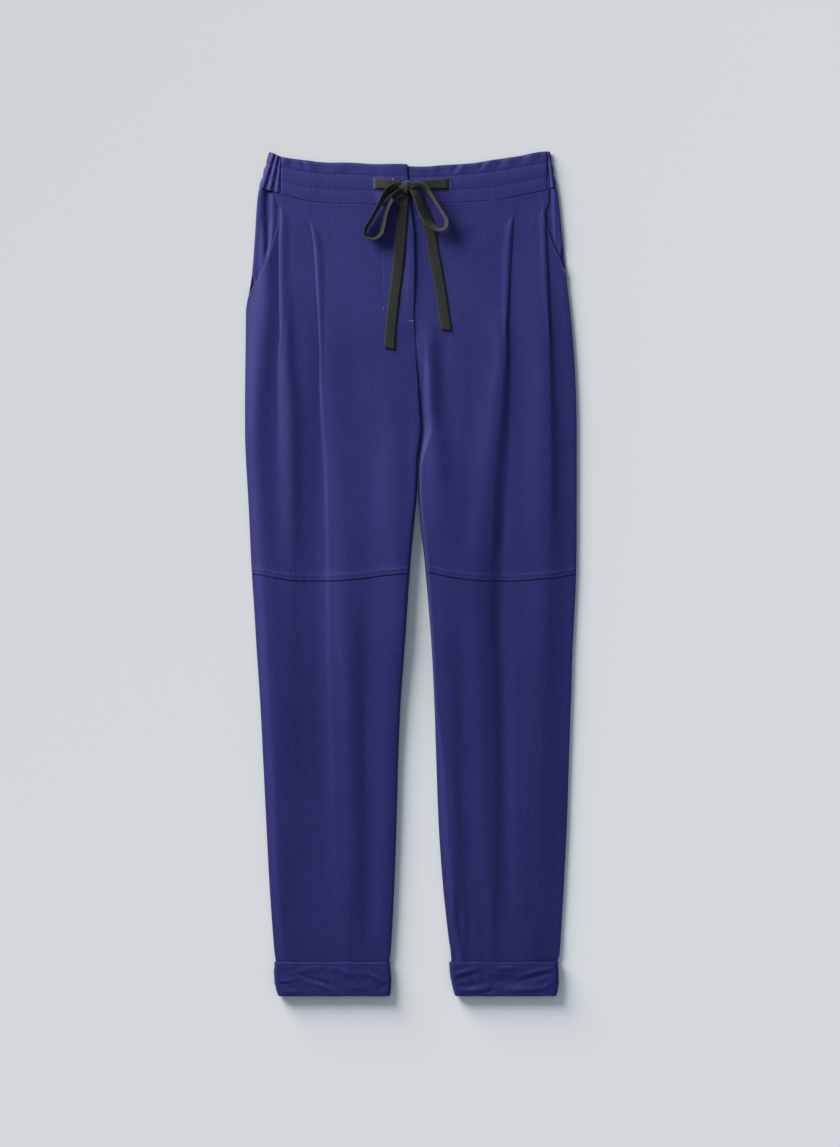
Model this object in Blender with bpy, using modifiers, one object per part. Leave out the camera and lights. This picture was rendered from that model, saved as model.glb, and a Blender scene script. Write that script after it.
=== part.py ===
"""Tapered drawstring trousers, laid flat on their back with the waist toward +Y.

Every cloth piece is a wall one millimetre thick. A station s runs down the garment from the
highest corner of the waist, x runs to the viewer's right and z up from the floor, all in
millimetres. q is the distance outward from the middle, so one set of functions cuts both legs.
"""
import math

import bmesh
import bpy
from mathutils import Vector

MM = 0.001

# Driving sizes
LENGTH = 1003.5        # highest waist corner to the fold of the cuffs
WALL = 1.0             # cloth and tape thickness
GAP = 0.3              # clear space between sewn pieces
LAYER = WALL + GAP     # from one laid layer to the next, middle to middle
FLOOR_LAYER = WALL / 2     # middle of the cloth that rests on the floor
SHOULDER = 3.3         # middle of the front cloth where it starts to roll over a side
ROLL = 1.25            # radius of the roll at a side seam, on the middle of the wall
BACK_ROLL = 0.80       # share of that roll that the back makes, short of the front's edge
FRONT_ROLL = 0.92      # and the share that the front makes
LOFT = 0.6             # fullness of the laid front away from its seams
WAIST_SEAM = 63.0      # station of the waist seam at the centre front
KNEE_SEAM = 509.0      # station of the knee seam, on average
FLY_END = 205.0        # where the fly closes
FLY_LAP = 14.0         # how far the right front runs under the left at the fly
BACK_CENTRE_SEAM = 60.0    # station of the back's waist seam at its middle
BACK_SIDE_SEAM = 44.0      # and at the sides
BACK_CENTRE_X = 0.0
BACK_HALF = 180.0
CUFF_TOP = 963.0
CUFF_LIFT = 4.95       # middle of the cuff's upper layer
TAPE_WIDTH = 12.5
SLOPE_WIDTH = 2.2      # narrowest slope of a pleat that has just come undone
SEAM_HALF = 0.25       # half the clear space along the waist and knee seams

CREPE = (0.031, 0.030, 0.142)
TAPE_BLACK = (0.030, 0.030, 0.029)
BUTTON_NAVY = (0.020, 0.020, 0.060)


def lerp(start, stop, share):
    return start + (stop - start) * share


def ramp(value, start, stop):
    """A smooth step from 0 at start to 1 at stop."""
    share = min(max((value - start) / (stop - start), 0.0), 1.0)
    return share * share * (3.0 - 2.0 * share)


class Table:
    """Rows of sizes under named columns, read between its rows along a smooth curve."""

    def __init__(self, names, *rows):
        self.names = names.split()
        self.rows = rows

    def at(self, name, place):
        column = self.names.index(name)
        places = [row[0] for row in self.rows]
        values = [row[column] for row in self.rows]
        if place <= places[0]:
            return values[0]
        if place >= places[-1]:
            return values[-1]
        index = max(i for i, start in enumerate(places) if start <= place)
        span = places[index + 1] - places[index]
        share = (place - places[index]) / span
        slope_in = self.slope(places, values, index) * span
        slope_out = self.slope(places, values, index + 1) * span
        square, cube = share ** 2, share ** 3
        return ((2 * cube - 3 * square + 1) * values[index]
                + (cube - 2 * square + share) * slope_in
                + (3 * square - 2 * cube) * values[index + 1]
                + (cube - square) * slope_out)

    @staticmethod
    def slope(places, values, index):
        """The slope of the curve at a row, never steep enough to swing past it."""
        if index == 0 or index == len(places) - 1:
            return 0.0
        before = (values[index] - values[index - 1]) / (places[index] - places[index - 1])
        after = (values[index + 1] - values[index]) / (places[index + 1] - places[index])
        if before * after <= 0.0:
            return 0.0
        return 2.0 * before * after / (before + after)


# Outline seen from above. Inner edges are the centre front above the crotch, the inseams below.
OUTLINE = Table(
    "s left_side left_inner right_inner right_side",
    (0, -168.7, -4.5, -4.2, 165.6),
    (16, -172.3, -4.0, -3.7, 168.1),
    (31, -176.4, -3.0, -2.7, 170.5),
    (48, -181.2, -1.5, -1.2, 174.6),
    (63, -183.0, -0.5, -0.2, 176.4),
    (99, -185.3, 3.6, 3.9, 180.0),
    (146, -188.9, 4.4, 4.7, 184.7),
    (172, -193.1, 4.0, 4.3, 187.5),
    (190, -196.1, 3.1, 3.4, 189.6),
    (224, -196.4, 5.9, 6.2, 192.6),
    (256, -196.8, 8.6, 8.9, 194.9),
    (296, -197.2, 11.0, 11.3, 196.7),
    (331, -197.2, 12.8, 13.4, 197.2),
    (366, -196.1, 8.6, 9.4, 197.2),
    (402, -193.9, 7.6, 9.1, 197.2),
    (438, -191.9, 4.5, 11.4, 197.2),
    (485, -189.7, 0.1, 16.2, 196.9),
    (545, -185.9, -4.2, 21.5, 194.6),
    (593, -183.2, -7.4, 25.0, 192.3),
    (652, -179.3, -11.8, 27.9, 190.5),
    (723, -175.6, -14.9, 30.3, 188.1),
    (795, -172.0, -16.8, 32.9, 185.8),
    (866, -168.4, -19.2, 37.7, 182.4),
    (926, -164.3, -22.2, 43.9, 178.9),
    (954, -161.5, -24.2, 47.4, 176.8),
    (963, -159.6, -26.8, 48.1, 172.9),
    (990, -159.4, -25.6, 52.0, 173.3),
)

# Waist seam, as its station at each x
WAIST_LINE = Table(
    "x s",
    (-183, 44.5), (-158, 49.3), (-128, 57.4), (-101, 61.4), (-58, 62.8), (-7, 63.0),
    (45, 61.0), (93, 58.8), (131, 52.0), (154, 47.6), (176, 43.0),
)

# Knee seam, as how far it bows from its average station
KNEE_LINE = Table(
    "x bow",
    (-189, -5.6), (-156, -0.3), (-132, 2.5), (-96, 2.5), (-60, 0.0), (-37, -3.2), (-1, -6.5),
    (19, -7.3), (47, -2.1), (82, 2.1), (118, 2.7), (154, 0.3), (178, -2.1), (196, -5.0),
)

# Top edge of the front waistband
BAND_TOP = Table(
    "x s",
    (-169, 0.6), (-155, 6.0), (-132, 10.7), (-108, 13.7), (-72, 14.9), (-37, 16.1), (-4, 16.8),
    (11, 17.6), (47, 15.5), (82, 11.9), (106, 8.9), (130, 4.8), (154, 0.8), (165, 0.0),
)

# Pocket openings: the free edge of the upper front
POCKETS = {
    "left": Table("s q", (48, 154.4), (80, 157.4), (103, 163.0), (123, 168.6), (144, 177.8),
                  (160, 186.6), (168, 191.2), (178, 194.4)),
    "right": Table("s q", (46, 156.3), (80, 158.9), (98, 165.6), (115, 171.9), (127, 177.6),
                   (137, 182.0), (148, 184.9)),
}
POCKET_END = {"left": 178.0, "right": 148.0}

# Pleats: the folded edge, how far the cloth tucks back under it (below zero it has opened into
# a slope of that width), the height of the lowest layer, and the step from layer to layer
PLEATS = {
    "left": (
        Table("s edge tuck low step",
              (63, 124.0, 12.0, 1.9, 1.30), (115, 116.0, 10.0, 1.9, 1.30),
              (175, 112.3, 7.0, 2.0, 1.30), (229, 109.1, 3.0, 2.2, 1.25),
              (300, 106.4, -3.0, 2.5, 1.05), (402, 102.0, -9.0, 2.8, 0.80),
              (509, 98.3, -14.0, 2.9, 0.60), (711, 94.9, -18.0, 3.0, 0.45),
              (830, 91.3, -18.0, 3.1, 0.35), (945, 84.4, -18.0, 3.2, 0.10)),
        Table("s edge tuck low step",
              (63, 154.6, 11.0, 3.2, 1.30), (130, 156.7, 9.0, 3.2, 1.30),
              (190, 156.0, 6.0, 3.1, 1.30), (256, 152.8, 0.0, 2.6, 1.20),
              (330, 148.5, -6.0, 2.5, 0.95), (414, 146.2, -11.0, 2.7, 0.60),
              (509, 146.0, -14.0, 3.1, 0.15), (945, 138.0, -9.0, 3.2, 0.05)),
    ),
    "right": (
        Table("s edge tuck low step",
              (63, 124.0, 12.0, 1.9, 1.30), (130, 120.2, 10.0, 1.9, 1.30),
              (212, 116.3, 7.0, 2.0, 1.30), (300, 113.0, 2.0, 2.1, 1.25),
              (390, 109.8, -4.0, 2.3, 1.05), (462, 106.2, -8.0, 2.5, 0.90),
              (509, 103.4, -11.0, 2.6, 0.75), (560, 100.0, -13.0, 2.8, 0.60),
              (711, 104.5, -15.0, 2.9, 0.50), (830, 106.8, -16.0, 3.0, 0.40),
              (945, 102.5, -16.0, 3.2, 0.10)),
        Table("s edge tuck low step",
              (63, 156.5, 11.0, 3.2, 1.30), (130, 160.9, 9.0, 3.2, 1.30),
              (190, 163.4, 6.0, 3.0, 1.30), (270, 167.2, 1.0, 2.5, 1.20),
              (350, 169.6, -5.0, 2.4, 1.00), (438, 170.8, -9.0, 2.7, 0.60),
              (509, 170.5, -12.0, 3.1, 0.15), (945, 150.0, -8.0, 3.2, 0.05)),
    ),
}

# Soft folds of the laid front: where each starts and ends, half its width, and its height
FOLD_COLUMNS = ("start_s", "start_q", "end_s", "end_q", "half_width", "height")
SOFT_FOLDS = {
    "left": (
        (224, 139, 490, 131, 8, -0.5),
        (493, 128, 560, 142, 9, -0.6),
        (560, 142, 860, 138, 10, -0.5),
        (563, 63, 922, 58, 9, -0.6),
        (560, 84, 900, 76, 9, 0.5),
        (549, 174, 630, 156, 8, -0.7),
        (390, 77, 462, 77, 10, -0.4),
        (414, 52, 485, 52, 10, -0.4),
        (700, 40, 930, 40, 9, 0.5),
    ),
    "right": (
        (228, 29, 337, 37, 8, -0.8),
        (69, 50, 113, 74, 9, -0.5),
        (600, 131, 950, 127, 12, 0.6),
        (733, 50, 841, 59, 8, -0.6),
        (560, 60, 700, 66, 10, 0.4),
        (900, 56, 950, 56, 4, -0.5),
        (890, 91, 950, 90, 6, 0.5),
        (905, 152, 950, 152, 4, -0.5),
    ),
}

# Outline of the cuffs, outer and inner side
CUFFS = {
    "left": Table("s outer inner", (963, 162.3, 24.2), (975, 162.9, 23.4), (986, 162.3, 22.7),
                  (996, 160.4, 23.3), (1003.5, 158.1, 24.0)),
    "right": Table("s outer inner", (963, 175.5, 45.3), (977, 176.0, 46.2), (989, 176.1, 48.4),
                   (997, 175.0, 50.3), (1003.5, 173.6, 52.0)),
}

# Diagonal creases over each cuff: where they cross its middle, slant, half width and height
CUFF_CREASES = {
    "left": ((38, 0.9, 4.0, 0.5), (62, 1.3, 5.0, 0.6), (88, -1.1, 4.5, 0.4), (112, 1.2, 5.5, 0.6),
             (142, -0.8, 4.0, 0.4)),
    "right": ((60, 1.1, 4.5, 0.5), (86, -1.2, 4.5, 0.5), (112, 1.0, 5.5, 0.6), (138, 1.3, 4.5, 0.5),
              (162, -0.9, 4.0, 0.4)),
}

# The tape's loops stand on edge: the route, the height of its middle, its width and its tilt
LOOP_COLUMNS = "x s z width tilt"
LOOPS = {
    "left": (
        (-16.5, 43.0, 11.7, 7.5, 25), (-22.5, 45.5, 12.4, 9.5, 40), (-30.0, 51.0, 12.0, 12.0, 55),
        (-38.3, 65.5, 11.0, 12.5, 64), (-47.4, 82.6, 10.5, 12.5, 64), (-53.0, 93.4, 10.4, 12.5, 66),
        (-53.4, 100.4, 10.4, 12.5, 70), (-48.2, 104.4, 10.4, 12.5, 72), (-40.9, 103.9, 10.4, 12.5, 70),
        (-35.5, 98.5, 10.4, 12.5, 68), (-32.2, 87.1, 10.5, 12.5, 66), (-29.3, 73.7, 11.2, 12.5, 64),
        (-25.0, 62.0, 12.2, 11.0, 60), (-18.2, 52.6, 12.6, 8.0, 55),
    ),
    "right": (
        (6.7, 41.0, 11.2, 7.5, 20), (16.0, 43.4, 12.4, 10.0, 35), (25.0, 52.5, 12.2, 12.0, 50),
        (32.0, 63.5, 12.0, 12.5, 58), (39.2, 74.6, 12.0, 12.5, 62), (43.0, 83.7, 12.2, 12.5, 66),
        (41.6, 91.4, 12.4, 12.5, 70), (34.4, 94.9, 12.6, 12.5, 70), (26.5, 91.8, 12.8, 12.5, 66),
        (19.5, 84.5, 12.8, 12.5, 64), (14.4, 71.5, 12.8, 12.0, 64), (10.8, 60.0, 12.8, 9.0, 60),
        (7.4, 51.2, 12.8, 7.5, 55),
    ),
}

# The tape's tails lie on the fronts: the middle of the tape at each station
TAILS = {
    "left": Table("s x", (52.5, -8.6), (70, -9.8), (104, -12.2), (140, -15.6), (174, -20.0),
                  (205, -23.2), (234.5, -25.4)),
    "right": Table("s x", (54.5, 8.6), (70, 15.0), (94, 22.8), (118, 26.8), (160, 34.2),
                   (200, 40.2), (212.5, 41.9)),
}

KNOT_CENTRE = (-4.4, 43.0, 9.9)
KNOT_SIZE = (21.0, 14.5, 7.4)
KNOT_CAGE = 1.19       # a rounded cage this much larger gives the knot its size
BUTTON_CENTRE = (-17.0, 34.5)
BUTTON_RADIUS = 5.2
BUTTON_THICKNESS = 1.4
SLITS = {"left": (-42.5, 37.8), "right": (45.8, 37.8)}

SIGN = {"left": -1.0, "right": 1.0}
COLLECTION = "trousers"


def clear_scene():
    for item in list(bpy.data.objects):
        bpy.data.objects.remove(item, do_unlink=True)
    collection = bpy.data.collections.new(COLLECTION)
    bpy.context.scene.collection.children.link(collection)
    return collection


def place(x, s, z):
    """A point of the laid garment in metres, with its middle over the origin."""
    return Vector((x * MM, (LENGTH / 2 - s) * MM, z * MM))


def principled(name, colour, roughness):
    material = bpy.data.materials.new(name)
    material.use_nodes = True
    shader = material.node_tree.nodes["Principled BSDF"]
    shader.inputs["Base Color"].default_value = (*colour, 1.0)
    shader.inputs["Roughness"].default_value = roughness
    shader.inputs["Metallic"].default_value = 0.0
    return material


def add_object(name, mesh, material):
    mesh.materials.append(material)
    mesh.shade_smooth()
    item = bpy.data.objects.new(name, mesh)
    bpy.data.collections[COLLECTION].objects.link(item)
    return item


def cloth(name, sections, material, ring=False):
    """Loft a sheet through sections of points and give it the cloth's thickness."""
    shape = bmesh.new()
    lines = [[shape.verts.new(place(*point)) for point in section] for section in sections]
    for upper, lower in zip(lines, lines[1:]):
        count = len(upper)
        for i in range(count if ring else count - 1):
            j = (i + 1) % count
            shape.faces.new((upper[i], lower[i], lower[j], upper[j]))
    mesh = bpy.data.meshes.new(name)
    shape.to_mesh(mesh)
    shape.free()
    item = add_object(name, mesh, material)
    wall = item.modifiers.new("wall", "SOLIDIFY")
    wall.thickness = WALL * MM
    wall.offset = 0.0
    return item


def station(s, x):
    """Where the point of a level row lies: rows near the waist and knee follow those seams."""
    waist = (WAIST_LINE.at("s", x) - WAIST_SEAM) * (1.0 - ramp(s, WAIST_SEAM, 190.0))
    knee = KNEE_LINE.at("bow", x) * (1.0 - ramp(abs(s - KNEE_SEAM), 0.0, 130.0))
    return s + waist + knee


def back_waist(x):
    """The back's waist seam: straight from the centre to each side."""
    return lerp(BACK_CENTRE_SEAM, BACK_SIDE_SEAM, min(abs(x - BACK_CENTRE_X) / BACK_HALF, 1.0))


def back_station(s, x):
    """A level row of the back panels, which follows the back's waist seam near the top."""
    return s + (back_waist(x) - WAIST_SEAM) * (1.0 - ramp(s, WAIST_SEAM, 190.0))


def along(curve, leg, s):
    """Read q from a curve at the station where a level row meets it."""
    first = curve(s)
    return curve(station(s, SIGN[leg] * first))


def side_edge(leg, s):
    return along(lambda t: abs(OUTLINE.at(leg + "_side", t)), leg, s)


def inner_edge(leg, s):
    return SIGN[leg] * OUTLINE.at(leg + "_inner", s)


def front_inner_edge(leg, s):
    lap = FLY_LAP * (1.0 - ramp(s, 190.0, FLY_END)) if leg == "right" else 0.0
    return inner_edge(leg, s) - lap


def front_outer_edge(leg, s):
    side = side_edge(leg, s)
    if s >= POCKET_END[leg]:
        return side
    return min(side, along(lambda t: POCKETS[leg].at("q", t), leg, s))


def hem_ease(s):
    """The front's edges roll less inside the cuffs, where the back rises to meet them."""
    return FRONT_ROLL - 0.4 * ramp(s, 920.0, 945.0)


def inner_roll(s):
    """How far an inner edge is rolled over: a faint dip at the centre seam, whole at an inseam."""
    return (0.3 * ramp(s, FLY_END, 228.0) + 0.7 * ramp(s, 312.0, 336.0)) * hem_ease(s)


def outer_roll(leg, s):
    return ramp(s, POCKET_END[leg], POCKET_END[leg] + 12.0) * hem_ease(s)


def edge_points(edge, height, rolled, outward, turn):
    """The shoulder and three points of an edge. Rolled, they turn a quarter round toward turn."""
    points = []
    for index, angle in enumerate((0.0, 30.0, 60.0, 90.0)):
        flat = 0.9 * (3 - index)
        round_in = WALL / 2 + ROLL * (1.0 - math.sin(math.radians(angle)))
        drop = ROLL * (1.0 - math.cos(math.radians(angle)))
        q = edge - outward * lerp(flat, round_in, rolled)
        points.append((q, height + turn * drop * rolled))
    return points


def soft_folds(leg, q, s):
    total = 0.0
    for row in SOFT_FOLDS[leg]:
        fold = dict(zip(FOLD_COLUMNS, row))
        share = (s - fold["start_s"]) / (fold["end_s"] - fold["start_s"])
        middle = lerp(fold["start_q"], fold["end_q"], min(max(share, 0.0), 1.0))
        fade = ramp(s, fold["start_s"] - 30, fold["start_s"] + 20)
        fade *= 1.0 - ramp(s, fold["end_s"] - 20, fold["end_s"] + 30)
        total += fade * fold["height"] * math.exp(-((q - middle) / fold["half_width"]) ** 2)
    return total * (1.0 - ramp(s, 925.0, 955.0))


def fly_lift(x, s):
    """The left front rides over the right one's lap beside the fly."""
    edge = OUTLINE.at("left_inner", s)
    return LAYER * ramp(x, edge - 34.0, edge - 17.0) * (1.0 - ramp(s, FLY_END, 228.0))


def front_height(leg, q, s):
    """Height of the laid front's wall, at its middle, away from the pleats."""
    inner, outer = inner_edge(leg, s), side_edge(leg, s)
    fullness = ramp(q, inner + 20, inner + 70) * (1.0 - ramp(q, outer - 50, outer - 5))
    fullness *= ramp(s, WAIST_SEAM, 150.0) * (1.0 - ramp(s, 900.0, 955.0))
    lift = fly_lift(-q, s) if leg == "left" else 0.0
    return SHOULDER + LOFT * fullness + lift + soft_folds(leg, q, s)


def pleat_points(edge, tuck, top, step):
    """A pleat's fold: round its edge, back under by the tuck and out again, or a slope."""
    bend = step / 2
    under, spread = max(tuck, 0.0), max(SLOPE_WIDTH - tuck, SLOPE_WIDTH / 2)
    folded = ramp(tuck, 0.5, 4.0)
    tucks = (bend, 0.0, bend, under / 2, under - bend, under, under - bend)
    drops = (0.0, 0.25, 0.5, 0.5, 0.5, 0.75, 1.0)
    points = []
    for index, (inward, drop) in enumerate(zip(tucks, drops)):
        share = index / (len(tucks) - 1)
        q = edge + lerp(spread * share, -inward, folded)
        points.append((q, top - 2 * step * lerp(ramp(share, 0.0, 1.0), drop, folded)))
    return points


def front_section(leg, s):
    """A front panel from its centre or inseam, over its two pleats, to its outer edge."""
    inner, outer = front_inner_edge(leg, s), front_outer_edge(leg, s)
    pleats = []
    for table in PLEATS[leg]:
        edge, tuck, low, step = (table.at(name, s) for name in ("edge", "tuck", "low", "step"))
        pleats.append((edge, tuck, low, step, low + 2 * step))
    (edge1, tuck1, low1, step1, top1), (edge2, tuck2, low2, step2, top2) = pleats

    points = edge_points(inner, front_height(leg, inner + 3, s), inner_roll(s), -1.0, -1.0)[::-1]
    start, stop = points[-1][0], edge1 - max(tuck1, 0.0) - 3.0
    for share in (0.12, 0.26, 0.40, 0.54, 0.68, 0.84, 1.0):
        q = lerp(start, stop, share)
        rise = ramp(q, stop - 30.0, stop)
        points.append((q, lerp(front_height(leg, q, s), top1, rise)))
    points += pleat_points(edge1, tuck1, top1, step1)

    start = max(edge1 + 2.0, points[-1][0] + 2.0)
    stop = edge2 - max(tuck2, 0.0) - 3.0
    for share in (0.0, 0.33, 0.67, 1.0):
        q = lerp(start, stop, share)
        height = lerp(low1, top2, ramp(share, 0.0, 1.0))
        bend = soft_folds(leg, q, s) * (1.0 - abs(2.0 * share - 1.0))
        points.append((q, height + bend))
    points += pleat_points(edge2, tuck2, top2, step2)

    rolled = outer_roll(leg, s)
    height = lerp(low2, SHOULDER, ramp(outer - edge2, 3.0, 16.0))
    tail = edge_points(outer, height, rolled, 1.0, -1.0)
    first = points[-1][0]
    near = min(max(edge2 + 2.0, first + 2.0), lerp(first, tail[0][0], 0.5))
    points.append((near, low2))
    middle = lerp(near, tail[0][0], 0.5)
    points.append((middle, lerp(low2, height, 0.5) + soft_folds(leg, middle, s)))
    return points + tail


def laid(leg, s, points, gap_start=0.0):
    """Section points (q, z) of a leg as points of the garment, on their curved row."""
    result = []
    for q, z in points:
        x = SIGN[leg] * q
        result.append((x, station(s, x) + gap_start, z))
    return result


UPPER_STATIONS = (63, 80, 98, 118, 133, 148, 160, 178, 190, 205, 228, 255, 284, 312, 336, 375,
                  415, 460, 509)
LOWER_STATIONS = (509, 545, 595, 650, 710, 775, 840, 890, 930, 952, 963, 990)
LOWER_COLUMNS = (0, 1, 2, 3, 4, 6, 8, 10, 11, 14, 17, 18, 20, 21, 22, 28, 30, 31, 32, 33, 34)


def seam_gap(s, first, last):
    """Half the seam gap, downward at a panel's first row and upward at its last."""
    if s == first:
        return SEAM_HALF
    return -SEAM_HALF if s == last else 0.0


def upper_front(leg, material):
    rows = [laid(leg, s, front_section(leg, s), seam_gap(s, 63, 509)) for s in UPPER_STATIONS]
    return cloth("front_upper_" + leg, rows, material)


def lower_front(leg, material):
    rows = []
    for s in LOWER_STATIONS:
        section = front_section(leg, s)
        chosen = [section[i] for i in LOWER_COLUMNS]
        rows.append(laid(leg, s, chosen, seam_gap(s, 509, None)))
    return cloth("front_lower_" + leg, rows, material)


HIP_STATIONS = {"left": (63, 80, 98, 115, 131, 145, 156, 165), "right": (63, 78, 92, 105, 116, 126, 136)}
HIP_LAYER = FLOOR_LAYER + LAYER + 0.05


def hip_piece(leg, material):
    """The cloth behind a pocket opening: under the front's free edge and out to the side."""
    rows = []
    for s in HIP_STATIONS[leg]:
        pocket = along(lambda t: POCKETS[leg].at("q", t), leg, s)
        side = side_edge(leg, s)
        open_part = ramp(side - pocket, 3.0, 12.0)
        outer = side - 5.0 * (1.0 - open_part)
        height = lerp(HIP_LAYER, SHOULDER, open_part)
        tail = edge_points(outer, height, open_part, 1.0, -1.0)
        shoulder = tail[0][0]
        points = [(pocket - 10.0, HIP_LAYER)]
        clear = min(pocket + 2.0, lerp(pocket - 10.0, shoulder, 0.7))
        points.append((clear, HIP_LAYER))
        for share in (0.4, 0.75):
            q = lerp(clear, shoulder, share)
            points.append((q, lerp(HIP_LAYER, height, ramp(share, 0.0, 1.0))))
        rows.append(laid(leg, s, points + tail, seam_gap(s, 63, None)))
    return cloth("hip_" + leg, rows, material)


BACK_STATIONS = (63, 80, 100, 125, 150, 172, 190, 224, 256, 290, 312, 336, 366, 402, 438, 485, 545,
                 593, 652, 723, 795, 866, 912, 942, 952, 963, 990)


def back_panel(leg, material):
    """The back of a leg, flat on the floor, with its edges curled up to the front's."""
    rows = []
    for s in BACK_STATIONS:
        in_cuff = ramp(s, 942.0, 956.0)
        inset = 2.4 * in_cuff
        height = lerp(FLOOR_LAYER, HIP_LAYER, in_cuff)
        inner, outer = inner_edge(leg, s) + inset, side_edge(leg, s) - inset
        roll_out = BACK_ROLL * (1.0 - in_cuff)
        roll_in = ramp(s, 312.0, 336.0) * roll_out
        points = edge_points(inner, height, roll_in, -1.0, 1.0)[::-1]
        points += [(lerp(inner, outer, share), height) for share in (0.3, 0.7)]
        points += edge_points(outer, height, roll_out, 1.0, 1.0)
        gap = seam_gap(s, 63, None)
        rows.append([(SIGN[leg] * q, back_station(s, SIGN[leg] * q) + gap, z) for q, z in points])
    return cloth("back_" + leg, rows, material)


# The front waistband from its top edge to the waist seam: share of its width, and relief
BAND_ROWS = ((0.0, 0.1), (0.16, 0.3), (0.31, 0.0), (0.37, 0.5), (0.50, 0.7), (0.62, 0.5),
             (0.68, 0.0), (0.84, 0.3), (1.0, 0.0))
BAND_ENDS = {"left": 154.4, "right": 162.5}
BAND_LAP = 21.0


def band_height(leg, x):
    """The left half rides over the right half's lap."""
    if leg == "right":
        return SHOULDER
    return SHOULDER + LAYER * ramp(x, -44.0, -30.0)


def band_front(leg, material):
    sign = SIGN[leg]
    rows = []
    for share, relief in BAND_ROWS:
        s_middle = lerp(16.8, 62.8, share)
        edge = OUTLINE.at(leg + "_inner", s_middle)
        if leg == "right":
            edge -= BAND_LAP
        row = []
        for step in range(15):
            x = lerp(edge, sign * BAND_ENDS[leg], step / 14)
            wave = 0.35 * math.sin(x / 7.5) * (1.0 - ramp(share, 0.0, 0.3)) * ramp(abs(x), 35, 60)
            stack = 0.9 * ramp(abs(x), 105.0, 120.0)
            lapped = ramp(x, -4.0, 4.0) if leg == "right" else 1.0
            top, bottom = BAND_TOP.at("s", x), WAIST_LINE.at("s", x) - SEAM_HALF
            height = band_height(leg, x) + stack + relief * lapped + wave * lapped
            row.append((x, lerp(top, bottom, share), height))
        rows.append(row)
    return cloth("band_front_" + leg, rows, material)


GATHERS = 32
GATHER_POINTS = 4
GATHER_RISE = 0.7


def band_back(material):
    """The elastic back waistband: gathered on the floor and up over both sides to the front."""
    rows = []
    for share in (0.0, 0.31, 0.68, 1.0):
        swell = 1.0 if share in (0.0, 1.0) else 0.55
        left_top = lerp(0.6, 44.5, share)
        right_top = lerp(0.4, 43.0, share)
        left_side = -OUTLINE.at("left_side", left_top)
        right_side = OUTLINE.at("right_side", right_top)
        bulge = 1.3 * math.sin(math.pi * share * 3) ** 2
        row = []
        start = BAND_ENDS["left"] + GAP
        roll = (SHOULDER - FLOOR_LAYER) / 2
        shoulder = left_side - WALL / 2 - roll
        for index in range(7):
            q = lerp(start, shoulder, index / 6)
            height = SHOULDER + 0.55 * swell * math.sin(index * math.pi / 1.5)
            row.append((-q, height, WAIST_LINE.at("s", -q)))
        for angle in (-45, 0, 45):
            turn = math.radians(angle)
            x = -(shoulder + (roll + bulge) * math.cos(turn))
            row.append((x, SHOULDER - roll - roll * math.sin(turn), back_waist(x)))
        count = GATHERS * GATHER_POINTS
        for index in range(count + 1):
            x = lerp(-shoulder, right_side - WALL / 2 - roll, index / count)
            wave = 0.5 - 0.5 * math.cos(2 * math.pi * index / GATHER_POINTS)
            row.append((x, FLOOR_LAYER + GATHER_RISE * swell * wave, back_waist(x)))
        shoulder = right_side - WALL / 2 - roll
        for angle in (45, 0, -45):
            turn = math.radians(angle)
            x = shoulder + (roll + bulge) * math.cos(turn)
            row.append((x, SHOULDER - roll - roll * math.sin(turn), back_waist(x) - 1.5))
        end = BAND_ENDS["right"] + GAP
        for index in range(3):
            x = lerp(shoulder, end, index / 2)
            row.append((x, SHOULDER + 0.3 * (index % 2), WAIST_LINE.at("s", x)))
        points = []
        for x, z, bottom in row:
            top = BAND_TOP.at("s", x) + 1.5 * (z < SHOULDER / 2)
            points.append((x, lerp(top, bottom - SEAM_HALF, share), z))
        rows.append(points)
    return cloth("band_back", rows, material)


# Rows of a cuff: station, and how far inside the outer ring the cloth lies after its bottom fold
CUFF_ROWS = ((963, 0.0), (973, 0.0), (984, 0.0), (995, 0.0), (1002.3, 0.0), (1003.0, 0.675),
             (1002.3, 1.35), (992, 1.35))
CUFF_SPAN = 14


def cuff_crease(leg, q, s):
    total = 0.0
    for middle, slant, half_width, height in CUFF_CREASES[leg]:
        distance = (q - middle - slant * (s - 983.0)) / half_width
        total += height * math.exp(-distance ** 2)
    return total * ramp(s, CUFF_TOP, CUFF_TOP + 8) * (1.0 - ramp(s, 992.0, 1001.0))


def cuff(leg, material):
    """A turned-up cuff: a flattened ring round the leg, folded in at the bottom."""
    outline = CUFFS[leg]
    rows = []
    for s, inside in CUFF_ROWS:
        outer, inner = outline.at("outer", s), outline.at("inner", s)
        roll = (CUFF_LIFT - FLOOR_LAYER) / 2
        centre = FLOOR_LAYER + roll
        row = []
        outward = outer - WALL / 2 - roll
        inward = inner + WALL / 2 + roll
        for index in range(CUFF_SPAN + 1):
            q = lerp(inward, outward, index / CUFF_SPAN)
            crease = cuff_crease(leg, q, s) if inside == 0.0 else 0.0
            row.append((q, CUFF_LIFT - inside + crease))
        for angle in (45, 0, -45):
            turn = math.radians(angle)
            radius = roll - inside
            row.append((outward + radius * math.cos(turn), centre + radius * math.sin(turn)))
        for index in range(4):
            row.append((lerp(outward, inward, index / 3), FLOOR_LAYER + inside))
        for angle in (-45, 0, 45):
            turn = math.radians(angle)
            radius = roll - inside
            row.append((inward - radius * math.cos(turn), centre + radius * math.sin(turn)))
        rows.append([(SIGN[leg] * q, s, z) for q, z in row])
    return cloth("cuff_" + leg, rows, material, ring=True)


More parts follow.
